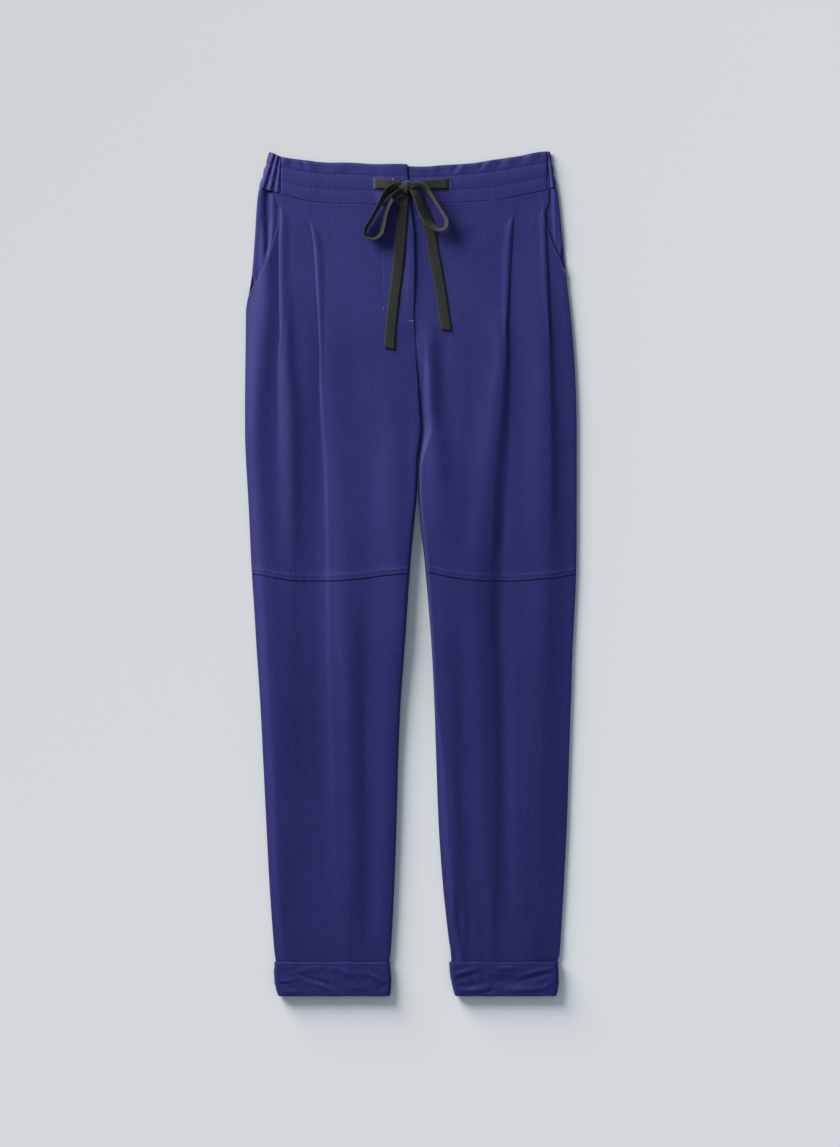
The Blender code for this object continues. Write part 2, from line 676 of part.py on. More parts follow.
def smooth_route(points, spacing):
    """Points along a smooth curve through a route's own points, at about the given spacing."""
    route = []
    for index in range(len(points) - 1):
        before = points[max(index - 1, 0)]
        start, stop = points[index], points[index + 1]
        after = points[min(index + 2, len(points) - 1)]
        count = max(1, round(math.dist(start[:2], stop[:2]) / spacing))
        for part in range(count):
            t = part / count
            route.append([
                0.5 * (2 * b + (c - a) * t + (2 * a - 5 * b + 4 * c - d) * t * t
                       + (3 * b - a - 3 * c + d) * t ** 3)
                for a, b, c, d in zip(before, start, stop, after)])
    route.append(list(points[-1]))
    return route


def tape_loop(leg, material):
    """A loop of the bow, with the tape standing on edge and its top leaning outward."""
    route = smooth_route(LOOPS[leg], 3.0)
    middle = [sum(point[i] for point in route) / len(route) for i in (0, 1)]
    rows = []
    for index, (x, s, z, width, tilt) in enumerate(route):
        before, after = route[max(index - 1, 0)], route[min(index + 1, len(route) - 1)]
        run, fall = after[0] - before[0], after[1] - before[1]
        length = math.hypot(run, fall)
        side = (fall / length, -run / length)
        if side[0] * (x - middle[0]) + side[1] * (s - middle[1]) < 0:
            side = (-side[0], -side[1])
        lean = width / 2 * math.cos(math.radians(tilt))
        rise = width / 2 * math.sin(math.radians(tilt))
        rows.append([(x - lean * side[0], s - lean * side[1], z - rise),
                     (x + lean * side[0], s + lean * side[1], z + rise)])
    return cloth("tape_loop_" + leg, rows, material)


def surface_height(x, s):
    """Middle of the top layer near the centre front, on the waistband or a front panel."""
    leg = "left" if x < OUTLINE.at("left_inner", s) else "right"
    if s < WAIST_LINE.at("s", x):
        return band_height(leg, x) + 0.3
    return front_height(leg, SIGN[leg] * x, s)


def tape_tail(leg, material):
    """A tail of the bow, laid on the cloth: its points are the panel's, moved out."""
    table = TAILS[leg]
    first, last = table.rows[0][0], table.rows[-1][0]
    rows = []
    count = 15
    for index in range(count + 1):
        s = lerp(first, last, index / count)
        slope = (table.at("x", s + 2) - table.at("x", s - 2)) / 4
        length = math.hypot(1.0, slope)
        row = []
        for share in (-0.5, 0.0, 0.5):
            offset = TAPE_WIDTH * share / length
            x, across = table.at("x", s) + offset, s - offset * slope
            height = max(surface_height(x + shift, across) for shift in (-5.0, 0.0, 5.0))
            near_knot = 0.5 * (1.0 - ramp(s, first, first + 25.0))
            row.append((x, across, height + LAYER + 0.25 + near_knot))
        rows.append(row)
    return cloth("tape_tail_" + leg, rows, material)


def tape_stub(leg, material):
    """The flat run of tape from its slit in the casing to the knot."""
    x_slit, s_slit = SLITS[leg]
    x_knot = KNOT_CENTRE[0] + SIGN[leg] * (KNOT_SIZE[0] / 2 + GAP)
    rows = []
    for share in (0.0, 0.12, 0.3, 0.5, 0.68, 0.84, 1.0):
        x = lerp(x_slit, x_knot, share)
        s = lerp(s_slit, KNOT_CENTRE[1] - 2.5, share)
        over_button = 2.0 * ramp(share, 0.15, 0.6) if leg == "left" else 2.6 * ramp(share, 0.2, 0.9)
        height = band_height(leg, x) + 0.6 + LAYER + 0.1 + over_button
        half = TAPE_WIDTH / 2 * lerp(1.0, 0.8, share)
        rows.append([(x, s - half, height), (x, s, height + 0.2), (x, s + half, height)])
    return cloth("tape_stub_" + leg, rows, material)


def tape_knot(material):
    """The knot: a soft lump, longer across than along."""
    shape = bmesh.new()
    bmesh.ops.create_cube(shape, size=1.0)
    for vert in shape.verts:
        x, y, z = (axis * size * KNOT_CAGE for axis, size in zip(vert.co, KNOT_SIZE))
        vert.co = place(KNOT_CENTRE[0] + x, KNOT_CENTRE[1] - y, KNOT_CENTRE[2] + z)
    mesh = bpy.data.meshes.new("tape_knot")
    shape.to_mesh(mesh)
    shape.free()
    item = add_object("tape_knot", mesh, material)
    rounded = item.modifiers.new("rounded", "SUBSURF")
    rounded.levels = 2
    rounded.render_levels = 2
    return item


def button(material):
    """The waist button, with a softened rim, on the left half of the waistband."""
    bottom = SHOULDER + LAYER + 0.6 + WALL / 2 + GAP
    shape = bmesh.new()
    bmesh.ops.create_cone(shape, cap_ends=True, segments=24, radius1=BUTTON_RADIUS * MM,
                          radius2=BUTTON_RADIUS * MM, depth=BUTTON_THICKNESS * MM)
    middle = place(*BUTTON_CENTRE, bottom + BUTTON_THICKNESS / 2)
    bmesh.ops.translate(shape, verts=shape.verts[:], vec=middle)
    mesh = bpy.data.meshes.new("button")
    shape.to_mesh(mesh)
    shape.free()
    item = add_object("button", mesh, material)
    rim = item.modifiers.new("rim", "BEVEL")
    rim.width = 0.35 * MM
    rim.segments = 2
    return item


def build():
    clear_scene()
    crepe = principled("crepe", CREPE, 0.75)
    tape = principled("tape", TAPE_BLACK, 0.85)
    navy = principled("button", BUTTON_NAVY, 0.3)
    for leg in ("left", "right"):
        back_panel(leg, crepe)
        hip_piece(leg, crepe)
        upper_front(leg, crepe)
        lower_front(leg, crepe)
        band_front(leg, crepe)
        cuff(leg, crepe)
        tape_stub(leg, tape)
        tape_loop(leg, tape)
        tape_tail(leg, tape)
    band_back(crepe)
    tape_knot(tape)
    button(navy)


build()
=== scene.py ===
# %% [markdown]
# # Drawstring trousers, laid flat
# The trousers lie on their back on a pale floor, waist away from the viewer. This script loads the
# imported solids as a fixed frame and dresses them: every cloth piece becomes a finer, thinner sheet
# of crepe on the same form, the drawstring becomes woven tape, and the sewing is added stitch by
# stitch. Left and right are the viewer's.

# %% The frame
import math

import bmesh
import bpy
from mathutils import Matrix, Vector, noise
from mathutils.bvhtree import BVHTree


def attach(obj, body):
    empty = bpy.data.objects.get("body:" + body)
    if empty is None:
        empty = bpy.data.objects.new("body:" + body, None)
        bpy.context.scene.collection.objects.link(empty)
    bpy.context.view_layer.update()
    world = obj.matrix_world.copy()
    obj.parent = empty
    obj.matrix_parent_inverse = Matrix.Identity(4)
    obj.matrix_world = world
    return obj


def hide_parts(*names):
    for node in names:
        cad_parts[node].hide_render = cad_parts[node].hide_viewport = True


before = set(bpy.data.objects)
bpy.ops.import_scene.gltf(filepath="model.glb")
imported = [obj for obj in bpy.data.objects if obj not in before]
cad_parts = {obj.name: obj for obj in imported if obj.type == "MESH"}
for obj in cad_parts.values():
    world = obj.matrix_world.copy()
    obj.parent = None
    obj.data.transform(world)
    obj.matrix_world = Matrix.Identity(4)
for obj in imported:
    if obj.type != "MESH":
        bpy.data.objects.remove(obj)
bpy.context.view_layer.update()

# %% [markdown]
# ## Places on the garment
# A tailor measures down from the waist, so a place is x to the right, a station s down from the
# highest corner of the waist, and a height z above the floor, in millimetres. One function turns
# that into Blender's metres, and everything else in the script uses it.

# %% Places
MM = 0.001
LENGTH = 1003.5          # highest waist corner to the fold of the cuffs
SIGN = {"left": -1.0, "right": 1.0}


# The round of an edge, from low to high: how far out and how far up, for a radius of one
HALF_ROUND = [(math.cos(math.radians(angle)), math.sin(math.radians(angle)))
              for angle in (-60, -30, 0, 30, 60)]


def place(x, s, z):
    return Vector((x * MM, (LENGTH / 2 - s) * MM, z * MM))


def lerp(start, stop, share):
    return start + (stop - start) * share


def ramp(value, start, stop):
    """A smooth step from 0 at start to 1 at stop."""
    share = min(max((value - start) / (stop - start), 0.0), 1.0)
    return share * share * (3.0 - 2.0 * share)


def bump(value, middle, half_width):
    """A soft hill of height 1."""
    return math.exp(-((value - middle) / half_width) ** 2)


# %% [markdown]
# ## The camera
# The photograph looks straight down from far away, so its lines hardly converge. The camera hangs
# three metres above the floor over the middle of the picture, and its lens gives the picture's
# height on the floor. The long side of the sensor is the upright one.

# %% Camera
PICTURE_HEIGHT = 1.36493     # metres of floor from the top of the picture to its bottom
PICTURE_MIDDLE = (0.011, 0.0002)
CAMERA_HEIGHT = 3.0
SENSOR = 36.0

camera_data = bpy.data.cameras.new("camera")
camera_data.sensor_width = SENSOR
camera_data.lens = SENSOR * CAMERA_HEIGHT / PICTURE_HEIGHT
camera = bpy.data.objects.new("camera", camera_data)
camera.location = (*PICTURE_MIDDLE, CAMERA_HEIGHT)
bpy.context.scene.collection.objects.link(camera)
bpy.context.scene.camera = camera
print("lens", round(camera_data.lens, 1))

# %% [markdown]
# ## Tables of sizes
# An outline is a short table of widths at a few stations. It is read between its rows along a
# smooth curve that never swings past a row, so a sleeve or a leg keeps its line. Blender could
# hold such a curve as an object, but a table keeps the sizes in sight.

# %% Tables
def curve(t, start, leave, stop, arrive):
    """A cubic from start to stop that leaves and arrives with the given slopes, at t from 0 to 1."""
    return ((2 * t ** 3 - 3 * t ** 2 + 1) * start + (t ** 3 - 2 * t ** 2 + t) * leave
            + (3 * t ** 2 - 2 * t ** 3) * stop + (t ** 3 - t ** 2) * arrive)


class Table:
    """Rows of sizes under named columns, read between its rows along a smooth curve."""

    def __init__(self, names, *rows):
        self.names = names.split()
        self.places = [row[0] for row in rows]
        self.columns = [[row[i] for row in rows] for i in range(len(self.names))]

    def at(self, name, where):
        """The size in a column at a place, or an end row's size beyond the ends."""
        places, values = self.places, self.columns[self.names.index(name)]
        if where <= places[0]:
            return values[0]
        if where >= places[-1]:
            return values[-1]
        index = max(i for i, start in enumerate(places) if start <= where)
        span = places[index + 1] - places[index]
        t = (where - places[index]) / span
        leave = self.slope(places, values, index) * span
        arrive = self.slope(places, values, index + 1) * span
        return curve(t, values[index], leave, values[index + 1], arrive)

    @staticmethod
    def slope(places, values, index):
        """The slope of the curve at a row, never steep enough to swing past it."""
        if index == 0 or index == len(places) - 1:
            return 0.0
        before = (values[index] - values[index - 1]) / (places[index] - places[index - 1])
        after = (values[index + 1] - values[index]) / (places[index + 1] - places[index])
        if before * after <= 0.0:
            return 0.0
        return 2.0 * before * after / (before + after)


OUTLINE = Table(
    "s left_side left_inner right_inner right_side",
    (0, -168.7, -4.5, -4.2, 165.6), (16, -172.3, -4.0, -3.7, 168.1),
    (31, -176.4, -3.0, -2.7, 170.5), (48, -181.2, -1.5, -1.2, 174.6),
    (63, -183.0, -0.5, -0.2, 176.4), (99, -185.3, 3.6, 3.9, 180.0),
    (146, -188.9, 4.4, 4.7, 184.7), (172, -193.1, 4.0, 4.3, 187.5),
    (190, -196.1, 3.1, 3.4, 189.6), (224, -196.4, 5.9, 6.2, 192.6),
    (256, -196.8, 8.6, 8.9, 194.9), (296, -197.2, 11.0, 11.3, 196.7),
    (331, -197.2, 12.8, 13.4, 197.2), (366, -196.1, 8.6, 9.4, 197.2),
    (402, -193.9, 7.6, 9.1, 197.2), (438, -191.9, 4.5, 11.4, 197.2),
    (485, -189.7, 0.1, 16.2, 196.9), (545, -185.9, -4.2, 21.5, 194.6),
    (593, -183.2, -7.4, 25.0, 192.3), (652, -179.3, -11.8, 27.9, 190.5),
    (723, -175.6, -14.9, 30.3, 188.1), (795, -172.0, -16.8, 32.9, 185.8),
    (866, -168.4, -19.2, 37.7, 182.4), (926, -164.3, -22.2, 43.9, 178.9),
    (954, -161.9, -24.0, 47.4, 177.0), (964, -160.6, -25.4, 48.1, 174.3),
    (990, -159.4, -25.6, 52.0, 173.3),
)
WAIST_LINE = Table(
    "x s",
    (-183, 44.5), (-158, 49.3), (-128, 57.4), (-101, 61.4), (-58, 62.8), (-7, 63.0),
    (45, 61.0), (93, 58.8), (131, 52.0), (154, 47.6), (176, 43.0),
)
KNEE_LINE = Table(
    "x bow",
    (-189, -5.6), (-156, -0.3), (-132, 2.5), (-96, 2.5), (-60, 0.0), (-37, -3.2), (-1, -6.5),
    (19, -7.3), (47, -2.1), (82, 2.1), (118, 2.7), (154, 0.3), (178, -2.1), (196, -5.0),
)
BAND_TOP = Table(
    "x s",
    (-169, 0.6), (-155, 5.6), (-132, 9.8), (-108, 12.3), (-72, 13.5), (-37, 14.8), (-4.4, 15.4),
    (-3.6, 17.4), (11, 17.6), (47, 15.8), (82, 12.5), (106, 8.9), (130, 4.8), (154, 0.8), (165, 0.0),
)
print("outline", OUTLINE.at("right_side", 400) - OUTLINE.at("left_side", 400), "mm wide at the hip")

# %% [markdown]
# ## Layers
# Flat trousers are a stack: the back on the floor, the front on it, pleats three deep, a lapped
# fly, and cuffs round it all. These heights are the middles of the layers, the same as in the
# solids, while the crepe itself is only about half a millimetre thick.

# %% Layer heights and seams
CREPE_WALL = 0.45
BAND_WALL = 0.7          # a waistband is folded double
SOLID_WALL = 1.0         # the thickness of the solids that the sheets stand for
LAYER = 1.3
FLOOR_LAYER = 0.5
HIP_LAYER = 1.85
SHOULDER = 3.3
ROLL = 1.25
CUFF_LIFT = 8.4
LOFT = 0.6
WAIST_SEAM = 63.0
KNEE_SEAM = 509.0
WAIST_EASE = 190.0       # rows follow the curve of the waist seam down to here
KNEE_EASE = 130.0        # and that of the knee seam within this distance
FLY_END = 205.0
FLY_EASE = 228.0         # the lap has faded away
FLY_LAP = 14.0
CROTCH = (312.0, 336.0)  # the centre seam ends and the two inseams begin
CUFF_TOP = 963.0
SEAM_HALF = 0.25
TAPE_WIDTH = 12.5
TAPE_WALL = 0.9

# %% [markdown]
# ## Sheets of cloth
# A woven sheet is a grid of threads, so each sheet starts as Blender's own grid, and every
# crossing is moved to its place on the laid garment. Rows run across, columns run down. A smooth
# curve through a few section points gives the many columns, because cloth bends and never kinks.

# %% A grid laid over lines
def tangent(before, here, after):
    """The direction of a smooth line at a point, fair to a short and a long side."""
    near, far = math.dist(before, here), math.dist(here, after)
    if near == 0.0 or far == 0.0:
        both = (near + far) or 1.0
        return [(c - a) / both for a, c in zip(before, after)]
    return [((b - a) / near * far + (c - b) / far * near) / (near + far)
            for a, b, c in zip(before, here, after)]


def refined(points, cuts):
    """A smooth line through the points, each stretch cut into as many parts as cuts says."""
    line = []
    for index, parts in enumerate(cuts):
        start, stop = points[index], points[index + 1]
        span = math.dist(start, stop)
        leave = tangent(points[max(index - 1, 0)], start, stop)
        arrive = tangent(start, stop, points[min(index + 2, len(points) - 1)])
        for part in range(parts):
            t = part / parts
            line.append([curve(t, a, span * m, b, span * n)
                         for a, b, m, n in zip(start, stop, leave, arrive)])
    line.append(list(points[-1]))
    return line


def object_of(name, shape):
    """The finished shape as an object in the scene, at the origin."""
    mesh = bpy.data.meshes.new(name)
    shape.to_mesh(mesh)
    shape.free()
    piece = bpy.data.objects.new(name, mesh)
    bpy.context.scene.collection.objects.link(piece)
    return piece


def grid_of(name, lines, ring=False):
    """Blender's grid, with each crossing moved onto its line. A ring's ends are welded."""
    rows, columns = len(lines) - 1, len(lines[0]) - 1
    shape = bmesh.new()
    bmesh.ops.create_grid(shape, x_segments=columns, y_segments=rows, size=0.5)
    weave = shape.loops.layers.uv.new("weave")
    across, down = [0.0] * (columns + 1), [0.0] * (rows + 1)
    half = len(lines[0]) // 2
    for i in range(columns):
        across[i + 1] = across[i] + math.dist(lines[rows // 2][i], lines[rows // 2][i + 1])
    for j in range(rows):
        down[j + 1] = down[j] + math.dist(lines[j][half], lines[j + 1][half])
    spots = {}
    for vert in shape.verts:
        spots[vert.index] = (round((vert.co.x + 0.5) * columns), round((0.5 - vert.co.y) * rows))
    for face in shape.faces:
        for loop in face.loops:
            column, row = spots[loop.vert.index]
            loop[weave].uv = (across[column] * MM, down[row] * MM)
    for vert in shape.verts:
        column, row = spots[vert.index]
        vert.co = place(*lines[row][column])
    if ring:
        bmesh.ops.remove_doubles(shape, verts=shape.verts[:], dist=0.00001)
        bmesh.ops.recalc_face_normals(shape, faces=shape.faces[:])
    else:
        shape.normal_update()
        if sum(face.normal.z * face.calc_area() for face in shape.faces) < 0.0:
            bmesh.ops.reverse_faces(shape, faces=shape.faces[:])
    piece = object_of(name, shape)
    piece.data.shade_smooth()
    return piece


def thicken(piece, wall):
    walls = piece.modifiers.new("wall", "SOLIDIFY")
    walls.thickness = wall * MM
    walls.offset = 0.0


def stand_for(piece, slot, material, *nodes):
    """The piece rides on the one body, takes its finish and hides the solids it stands for."""
    piece.data.materials.append(material)
    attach(piece, "root")
    if nodes:
        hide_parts(*nodes)
    print(piece.name, len(piece.data.polygons), "faces")


# %% [markdown]
# ## Finishes
# The trousers have three: crepe, cotton tape and a glossy button. A crepe's twisted threads give a
# dry, pebbled face with faint streaks down the warp. That could be an image, but noise at the
# thread's own size works from any side and at any distance. It reads Object coordinates, which
# are real metres here, because the cloth lies nearly flat.

# %% Node helpers
def new_material(name, roughness):
    material = bpy.data.materials.new(name)
    material.use_nodes = True
    shader = material.node_tree.nodes["Principled BSDF"]
    shader.inputs["Roughness"].default_value = roughness
    return material, material.node_tree, shader


def add_node(tree, kind, **values):
    node = tree.nodes.new(kind)
    for key, value in values.items():
        if key in node.inputs:
            node.inputs[key].default_value = value
        else:
            setattr(node, key, value)
    return node


def noise_at(tree, source, size_mm, stretch=(1.0, 1.0, 1.0), detail=2.0):
    """Noise whose grain is about size_mm wide, drawn out by stretch along an axis."""
    mapping = tree.nodes.new("ShaderNodeMapping")
    mapping.inputs["Scale"].default_value = [1.0 / (size_mm * MM * pull) for pull in stretch]
    grain = tree.nodes.new("ShaderNodeTexNoise")
    grain.inputs["Scale"].default_value = 1.0
    grain.inputs["Detail"].default_value = detail
    tree.links.new(source, mapping.inputs["Vector"])
    tree.links.new(mapping.outputs["Vector"], grain.inputs["Vector"])
    return grain.outputs["Fac"]


def mixed(tree, factor, first, second):
    mix = tree.nodes.new("ShaderNodeMix")
    mix.data_type = "RGBA"
    mix.inputs["A"].default_value = (*first, 1.0)
    mix.inputs["B"].default_value = (*second, 1.0)
    tree.links.new(factor, mix.inputs["Factor"])
    return mix.outputs["Result"]


def contrast(tree, value, low, high):
    """Stretch the middle of a noise to the whole range."""
    stretched = tree.nodes.new("ShaderNodeMapRange")
    stretched.inputs["From Min"].default_value = low
    stretched.inputs["From Max"].default_value = high
    tree.links.new(value, stretched.inputs["Value"])
    return stretched.outputs["Result"]


def sum_of(tree, first, weight, second, other_weight):
    scaled = tree.nodes.new("ShaderNodeMath")
    scaled.operation = "MULTIPLY"
    scaled.inputs[1].default_value = weight
    tree.links.new(first, scaled.inputs[0])
    added = tree.nodes.new("ShaderNodeMath")
    added.operation = "MULTIPLY_ADD"
    added.inputs[1].default_value = other_weight
    tree.links.new(second, added.inputs[0])
    tree.links.new(scaled.outputs[0], added.inputs[2])
    return added.outputs[0]


# %% Crepe
CREPE_DARK = (0.0115, 0.0115, 0.090)
CREPE_LIGHT = (0.0205, 0.0205, 0.135)


def crepe_finish():
    material, tree, shader = new_material("crepe", 0.62)
    where = tree.nodes.new("ShaderNodeTexCoord").outputs["Object"]
    pebble = noise_at(tree, where, 0.9, detail=3.0)
    streak = noise_at(tree, where, 1.5, stretch=(1.0, 9.0, 1.0), detail=3.0)
    cloud = noise_at(tree, where, 45.0, stretch=(1.0, 2.5, 1.0))
    tone = sum_of(tree, sum_of(tree, pebble, 0.55, streak, 0.45), 1.0, cloud, 0.20)
    tone = contrast(tree, tone, 0.42, 0.78)
    tree.links.new(mixed(tree, tone, CREPE_DARK, CREPE_LIGHT), shader.inputs["Base Color"])
    shader.inputs["Sheen Weight"].default_value = 0.05
    shader.inputs["Sheen Roughness"].default_value = 0.45
    shader.inputs["Sheen Tint"].default_value = (0.45, 0.45, 0.9, 1.0)
    shader.inputs["Specular IOR Level"].default_value = 0.22
    relief = add_node(tree, "ShaderNodeBump", Strength=0.6, Distance=0.0002)
    tree.links.new(sum_of(tree, pebble, 1.0, streak, 0.5), relief.inputs["Height"])
    tree.links.new(relief.outputs["Normal"], shader.inputs["Normal"])
    return material


CREPE = crepe_finish()

# %% [markdown]
# The drawstring is a soft cotton twill tape, black with a trace of olive. Its ribs run slantwise
# across it and must follow each loop, so they read the tape's own UV map, where one unit is a
# metre along or across the tape.

# %% Tape, thread and button
TAPE_DARK = (0.0065, 0.0064, 0.0058)
TAPE_LIGHT = (0.020, 0.0195, 0.0175)
RIB_WIDTH = 0.85


def tape_finish():
    material, tree, shader = new_material("tape", 0.82)
    where = tree.nodes.new("ShaderNodeTexCoord").outputs["UV"]
    turned = tree.nodes.new("ShaderNodeMapping")
    turned.inputs["Rotation"].default_value = (0.0, 0.0, math.radians(58.0))
    tree.links.new(where, turned.inputs["Vector"])
    ribs = tree.nodes.new("ShaderNodeTexWave")
    ribs.inputs["Scale"].default_value = 0.314 / (RIB_WIDTH * MM)
    ribs.inputs["Distortion"].default_value = 0.6
    ribs.inputs["Detail"].default_value = 1.0
    tree.links.new(turned.outputs["Vector"], ribs.inputs["Vector"])
    fuzz = noise_at(tree, where, 0.35)
    tone = sum_of(tree, ribs.outputs["Fac"], 0.55, fuzz, 0.45)
    tree.links.new(mixed(tree, tone, TAPE_DARK, TAPE_LIGHT), shader.inputs["Base Color"])
    shader.inputs["Sheen Weight"].default_value = 0.10
    shader.inputs["Specular IOR Level"].default_value = 0.25
    relief = add_node(tree, "ShaderNodeBump", Strength=0.7, Distance=0.00018)
    tree.links.new(tone, relief.inputs["Height"])
    tree.links.new(relief.outputs["Normal"], shader.inputs["Normal"])
    return material


def thread_finish():
    material, tree, shader = new_material("thread", 0.5)
    where = tree.nodes.new("ShaderNodeTexCoord").outputs["Object"]
    twist = noise_at(tree, where, 0.3)
    # Both blues are paler than the crepe's, a painted sheen for smooth thread; the twist noise varies
    # them at random
    tone = mixed(tree, twist, (0.055, 0.054, 0.215), (0.090, 0.088, 0.300))
    tree.links.new(tone, shader.inputs["Base Color"])
    return material


def button_finish():
    material, tree, shader = new_material("button", 0.16)
    where = tree.nodes.new("ShaderNodeTexCoord").outputs["Object"]
    swirl = noise_at(tree, where, 2.5, stretch=(1.0, 3.0, 1.0))
    tone = mixed(tree, swirl, (0.012, 0.012, 0.035), (0.030, 0.030, 0.075))
    tree.links.new(tone, shader.inputs["Base Color"])
    shader.inputs["Coat Weight"].default_value = 0.6
    shader.inputs["Coat Roughness"].default_value = 0.08
    return material


TAPE = tape_finish()
THREAD = thread_finish()
BUTTON = button_finish()

# %% [markdown]
# ## The drawstring
# The tape comes out of two slits in the casing, is tied in a bow, and hangs in two tails with raw
# square ends. A flat tape laid in a loop stands on its edge and leans outward, as here: each loop
# follows a route of points with its height, width and tilt. It could be a curve with a flat bevel,
# but the lean changes along the way, so each row of the grid is set across the route one by one.

# %% Routes of the tape
LOOPS = {
    "left": (
        (-11.0, 41.5, 10.8, 7.0, 15), (-16.0, 42.4, 11.4, 9.5, 20), (-22.0, 45.0, 11.6, 11.0, 34),
        (-29.0, 50.5, 11.2, 11.0, 52), (-38.0, 65.5, 10.6, 11.0, 72), (-47.4, 82.6, 10.2, 11.0, 74),
        (-53.6, 93.4, 10.2, 11.0, 74), (-53.6, 100.4, 10.2, 11.0, 70), (-48.2, 104.0, 10.2, 11.0, 68),
        (-40.9, 103.5, 10.2, 11.0, 64), (-35.5, 98.5, 10.2, 11.0, 60), (-32.4, 87.1, 10.3, 11.0, 58),
        (-29.6, 73.7, 10.8, 11.0, 57), (-24.8, 61.5, 11.6, 10.5, 52), (-18.4, 53.0, 12.0, 9.0, 44),
        (-10.0, 47.0, 11.4, 6.0, 35),
    ),
    "right": (
        (1.5, 40.6, 10.6, 6.0, 15), (8.5, 41.2, 11.4, 8.5, 30), (16.5, 44.0, 11.6, 10.0, 52),
        (24.6, 52.5, 11.4, 11.0, 72), (31.6, 63.5, 11.2, 11.0, 78), (38.8, 74.6, 11.2, 11.0, 77),
        (43.0, 83.7, 11.4, 11.0, 70), (41.6, 91.0, 11.6, 11.0, 66), (34.4, 94.4, 11.8, 11.0, 60),
        (26.5, 91.0, 12.0, 11.0, 50), (19.0, 83.5, 12.0, 11.0, 41), (13.0, 71.0, 12.0, 11.0, 34),
        (9.0, 59.5, 12.2, 10.5, 32), (5.0, 51.0, 12.2, 8.5, 32), (1.0, 46.0, 11.4, 6.0, 30),
    ),
}
TAILS = {
    "left": Table("s x", (52.5, -8.6), (70, -9.8), (104, -12.2), (140, -15.6), (174, -20.0),
                  (205, -23.2), (234.5, -25.4)),
    "right": Table("s x", (54.5, 8.6), (70, 15.0), (94, 22.8), (118, 26.8), (160, 34.2),
                   (200, 40.2), (212.5, 41.9)),
}
SLITS = {"left": (-42.5, 37.8), "right": (45.8, 37.8)}
KNOT_CENTRE = (-4.4, 43.0, 9.9)
KNOT_SIZE = (21.0, 14.5, 7.4)
TAPE_COLUMNS = 8
TAPE_STEP = 1.3          # from one row of the tape's grid to the next


def woven_piece(node, rows):
    """A length of tape laid over the rows, in place of its solid."""
    piece = grid_of(node + "_woven", rows)
    thicken(piece, TAPE_WALL)
    stand_for(piece, "tape", TAPE, node)
    return piece


# %% Loops
def tape_loop(leg):
    route = LOOPS[leg]
    cuts = [max(1, round(math.dist(a[:2], b[:2]) / TAPE_STEP)) for a, b in zip(route, route[1:])]
    line = refined(route, cuts)
    middle = [sum(point[i] for point in line) / len(line) for i in (0, 1)]
    rows = []
    for index, (x, s, z, width, tilt) in enumerate(line):
        before, after = line[max(index - 1, 0)], line[min(index + 1, len(line) - 1)]
        run, fall = after[0] - before[0], after[1] - before[1]
        side = (fall / math.hypot(run, fall), -run / math.hypot(run, fall))
        if side[0] * (x - middle[0]) + side[1] * (s - middle[1]) < 0:
            side = (-side[0], -side[1])
        lean, rise = math.cos(math.radians(tilt)), math.sin(math.radians(tilt))
        row = []
        for column in range(TAPE_COLUMNS + 1):
            out = width * (column / TAPE_COLUMNS - 0.5)
            cup = 0.5 * (1.0 - (2.0 * out / width) ** 2)
            row.append((x + side[0] * (out * lean - cup * rise),
                        s + side[1] * (out * lean - cup * rise), z + out * rise + cup * lean))
        rows.append(row)
    piece = woven_piece("tape_loop_" + leg, rows)


for leg in SIGN:
    tape_loop(leg)

# %% [markdown]
# ## Front panels
# Each leg's front is cut in two at the knee. Two pleats are laid in at the waist, turned toward
# the side, and they come undone on the way down. A pleat is a fold in three layers: over its
# edge, back under, and out again. The section below walks across the front from the centre to the
# side through about three dozen points, and q is the distance outward from the middle. A cloth
# simulation would find its own folds, but these have to be the photograph's, so they are placed.

